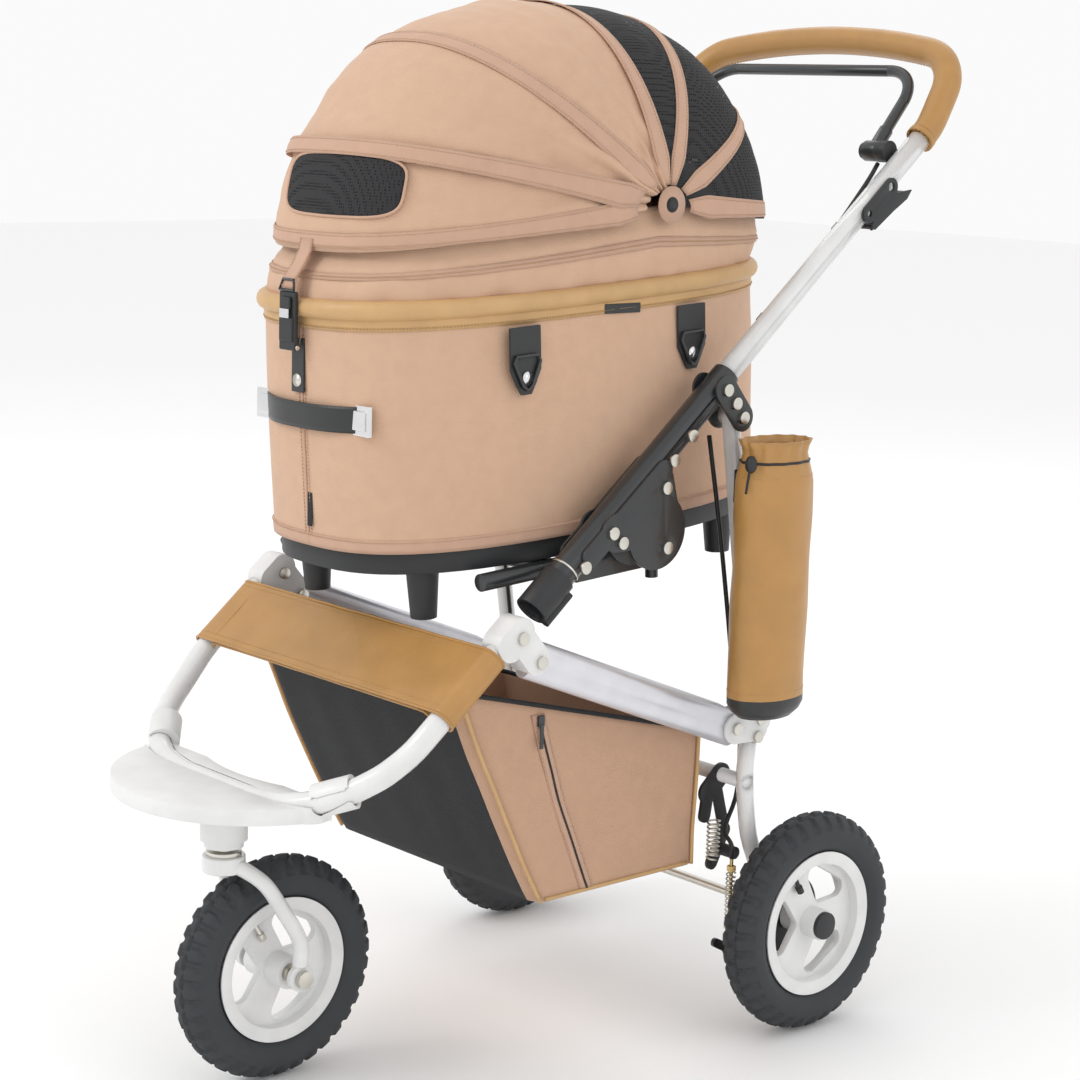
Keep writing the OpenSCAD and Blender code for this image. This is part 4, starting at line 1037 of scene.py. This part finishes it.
def smooth_fork():
    """The fork's arms as one smooth line each, over the crown and end plates."""
    wheel_low, wheel_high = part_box("front_tyre")
    hub = (wheel_low + wheel_high) / 2
    stem_low, stem_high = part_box("caster_stem")
    stem = (stem_low + stem_high) / 2
    parts = []
    for sign in (1, -1):
        line = [stem + Vector((sign * 0.006, 0.0, 0.240 - stem.z)), stem + Vector((sign * 0.020, 0.008, 0.237 - stem.z)),
                stem + Vector((sign * 0.037, 0.024, 0.222 - stem.z)), stem + Vector((sign * 0.0455, 0.040, 0.194 - stem.z)),
                Vector((hub.x + sign * 0.046, hub.y - 0.001, hub.z + 0.040)),
                Vector((hub.x + sign * 0.046, hub.y, hub.z + 0.012))]
        parts.append(tube_parts(smooth_path(line), 8, 20))
        plate = Vector((hub.x + sign * 0.0458, hub.y, hub.z))
        parts.append(disc_parts(plate, Vector((1, 0, 0)), 14, 8.4, 32))
    crown = Vector((stem.x, stem.y, 0.2405))
    parts.append(disc_parts(crown, Vector((0, 0, 1)), 22, 17, 40))
    o = joined("fork_smooth", parts, "white")
    o.data.set_sharp_from_angle(angle=math.radians(40))
    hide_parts("front_fork")
    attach(o, "fork")
    soften(o, 1.5)


smooth_fork()


tyre("tread_front", "front_tyre", "front_wheel")
tyre("tread_right", "rear_tyre_right", "rear_wheel_right")
tyre("tread_left", "rear_tyre_left", "rear_wheel_left")


def springs():
    """The coil springs and threaded rods of the brake linkage."""
    coils, rods = [], []
    for sx in (-1, 1):
        for x, y, top, length, r, wire, turns in ((175, -80, 234, 46, 6.6, 1.2, 9),
                                                  (208, -84, 184, 66, 5.0, 0.9, 13)):
            path = []
            steps = turns * 14
            for i in range(steps + 1):
                a = 2 * math.pi * turns * i / steps
                path.append(at(sx * (x + r * math.cos(a)), y + r * math.sin(a),
                               top - wire - (length - 2 * wire) * i / steps))
            coils.append(tube_parts(path, wire, 8))
        rods.append(tube_parts([at(sx * 208, -84, 85), at(sx * 208, -84, 198)], 2, 10))
        rods.append(tube_parts([at(sx * 208, -84, 84), at(sx * 208, -84, 88)], 4, 6))
        rods.append(tube_parts([at(sx * 208, -84, 184.4), at(sx * 208, -84, 190)], 5, 6))
    o = joined("brake_coils", coils, "steel")
    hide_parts("brake_springs")
    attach(o, "chassis")
    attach(joined("brake_rods", rods, "brass", False), "chassis")


springs()


def cot_mat():
    """The padded mat inside the cot, puffed by a short cloth simulation."""
    rows = []
    count = 96
    outline = oval_even(count, COT_A - 16, COT_B - 16)
    levels = [(8, 0.0), (8, 0.5), (8, 0.97), (14, 1.0), (22, 1.0), (28, 0.97), (28, 0.5), (28, 0.0)]
    for h, s in levels:
        rows.append([on_cot(x * max(s, 0.02), y * max(s, 0.02), h) for x, y, nx, ny in outline])
    points = [p for r in rows for p in r]
    faces = grid_faces(len(rows), count, close_columns=True)
    faces.append(list(range(count))[::-1])
    faces.append([(len(rows) - 1) * count + k for k in range(count)])
    o = mesh_object("cot_mat", points, faces, "rose_band")
    puff(o, 0.006, 6.0)
    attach(o, "cot")


def puff(o, voxel, cap):
    """Remesh, blow up with Cloth's pressure, and keep every point within cap millimetres of its start."""
    scene = bpy.context.scene
    bpy.context.view_layer.objects.active = o
    o.select_set(True)
    remesh = o.modifiers.new("remesh", "REMESH")
    remesh.mode = "VOXEL"
    remesh.voxel_size = voxel
    bpy.ops.object.modifier_apply(modifier=remesh.name)
    start = np.array([v.co for v in o.data.vertices])
    sim = o.modifiers.new("cloth", "CLOTH")
    sim.settings.use_pressure = True
    sim.settings.uniform_pressure_force = 4
    sim.settings.effector_weights.gravity = 0
    sim.settings.quality = 5
    for f in range(1, 21):
        scene.frame_set(f)
    bpy.ops.object.modifier_apply(modifier=sim.name)
    scene.frame_set(1)
    end = np.array([v.co for v in o.data.vertices])
    move = end - start
    size = np.linalg.norm(move, axis=1, keepdims=True)
    end = start + move * np.minimum(1, cap * MM / np.maximum(size, 1e-9))
    o.data.vertices.foreach_set("co", end.ravel())
    o.data.update()
    o.data.shade_smooth()
    o.select_set(False)


cot_mat()


# ---- Small fittings ----
def small_fittings():
    x_way = Vector((1, 0, 0))
    for sign, name in ((1, "right"), (-1, "left")):
        clip = [tube_parts([on_tube(sign * (HALF - 13), s, 0), on_tube(sign * (HALF - 13), s + 9, 0)], 5, 12)
                for s in (598, 452)]
        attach(joined("cable_clips_" + name, clip, "black_plastic"), "upper_frame")
    tabs = [box_parts(on_cot(sign * (COT_B + 2.4), 4, 246), x_way, Vector((0, 1, 0)), Vector((0, 0, 1)),
                      (2.4, 50, 10)) for sign in (1, -1)]
    soften(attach(joined("cot_side_tabs", tabs, "black_leather", False), "cot"), 1.0)


small_fittings()


# ---- Floor and light ----
def stage():
    data = bpy.data.meshes.new("floor")
    size = 14
    data.from_pydata([(-size, -size, 0), (size, -size, 0), (size, size, 0), (-size, size, 0)], [], [[0, 1, 2, 3]])
    floor = bpy.data.objects.new("floor", data)
    bpy.context.scene.collection.objects.link(floor)
    m = bpy.data.materials.new("pale_floor")
    m.use_nodes = True
    b = m.node_tree.nodes["Principled BSDF"]
    b.inputs["Base Color"].default_value = (0.95, 0.95, 0.95, 1)
    b.inputs["Roughness"].default_value = 0.9
    data.materials.append(m)
    world = bpy.data.worlds.new("studio")
    world.use_nodes = True
    world.node_tree.nodes["Background"].inputs["Color"].default_value = (1, 1, 1, 1)
    world.node_tree.nodes["Background"].inputs["Strength"].default_value = 0.96
    bpy.context.scene.world = world
    for name, place, power, width in (("key", (-1.2, -3.2, 3.4), 46, 1.8), ("fill", (3.6, 0.4, 2.4), 12, 3.0),
                                      ("back", (-2.0, 2.6, 3.4), 20, 2.5)):
        light = bpy.data.lights.new(name, "AREA")
        light.energy, light.size = power, width
        lamp = bpy.data.objects.new(name, light)
        lamp.location = place
        aim = Vector((0, 0, 0.55)) - Vector(place)
        lamp.rotation_euler = aim.to_track_quat("-Z", "Y").to_euler()
        bpy.context.scene.collection.objects.link(lamp)
    bpy.context.scene.view_settings.view_transform = "Standard"


stage()
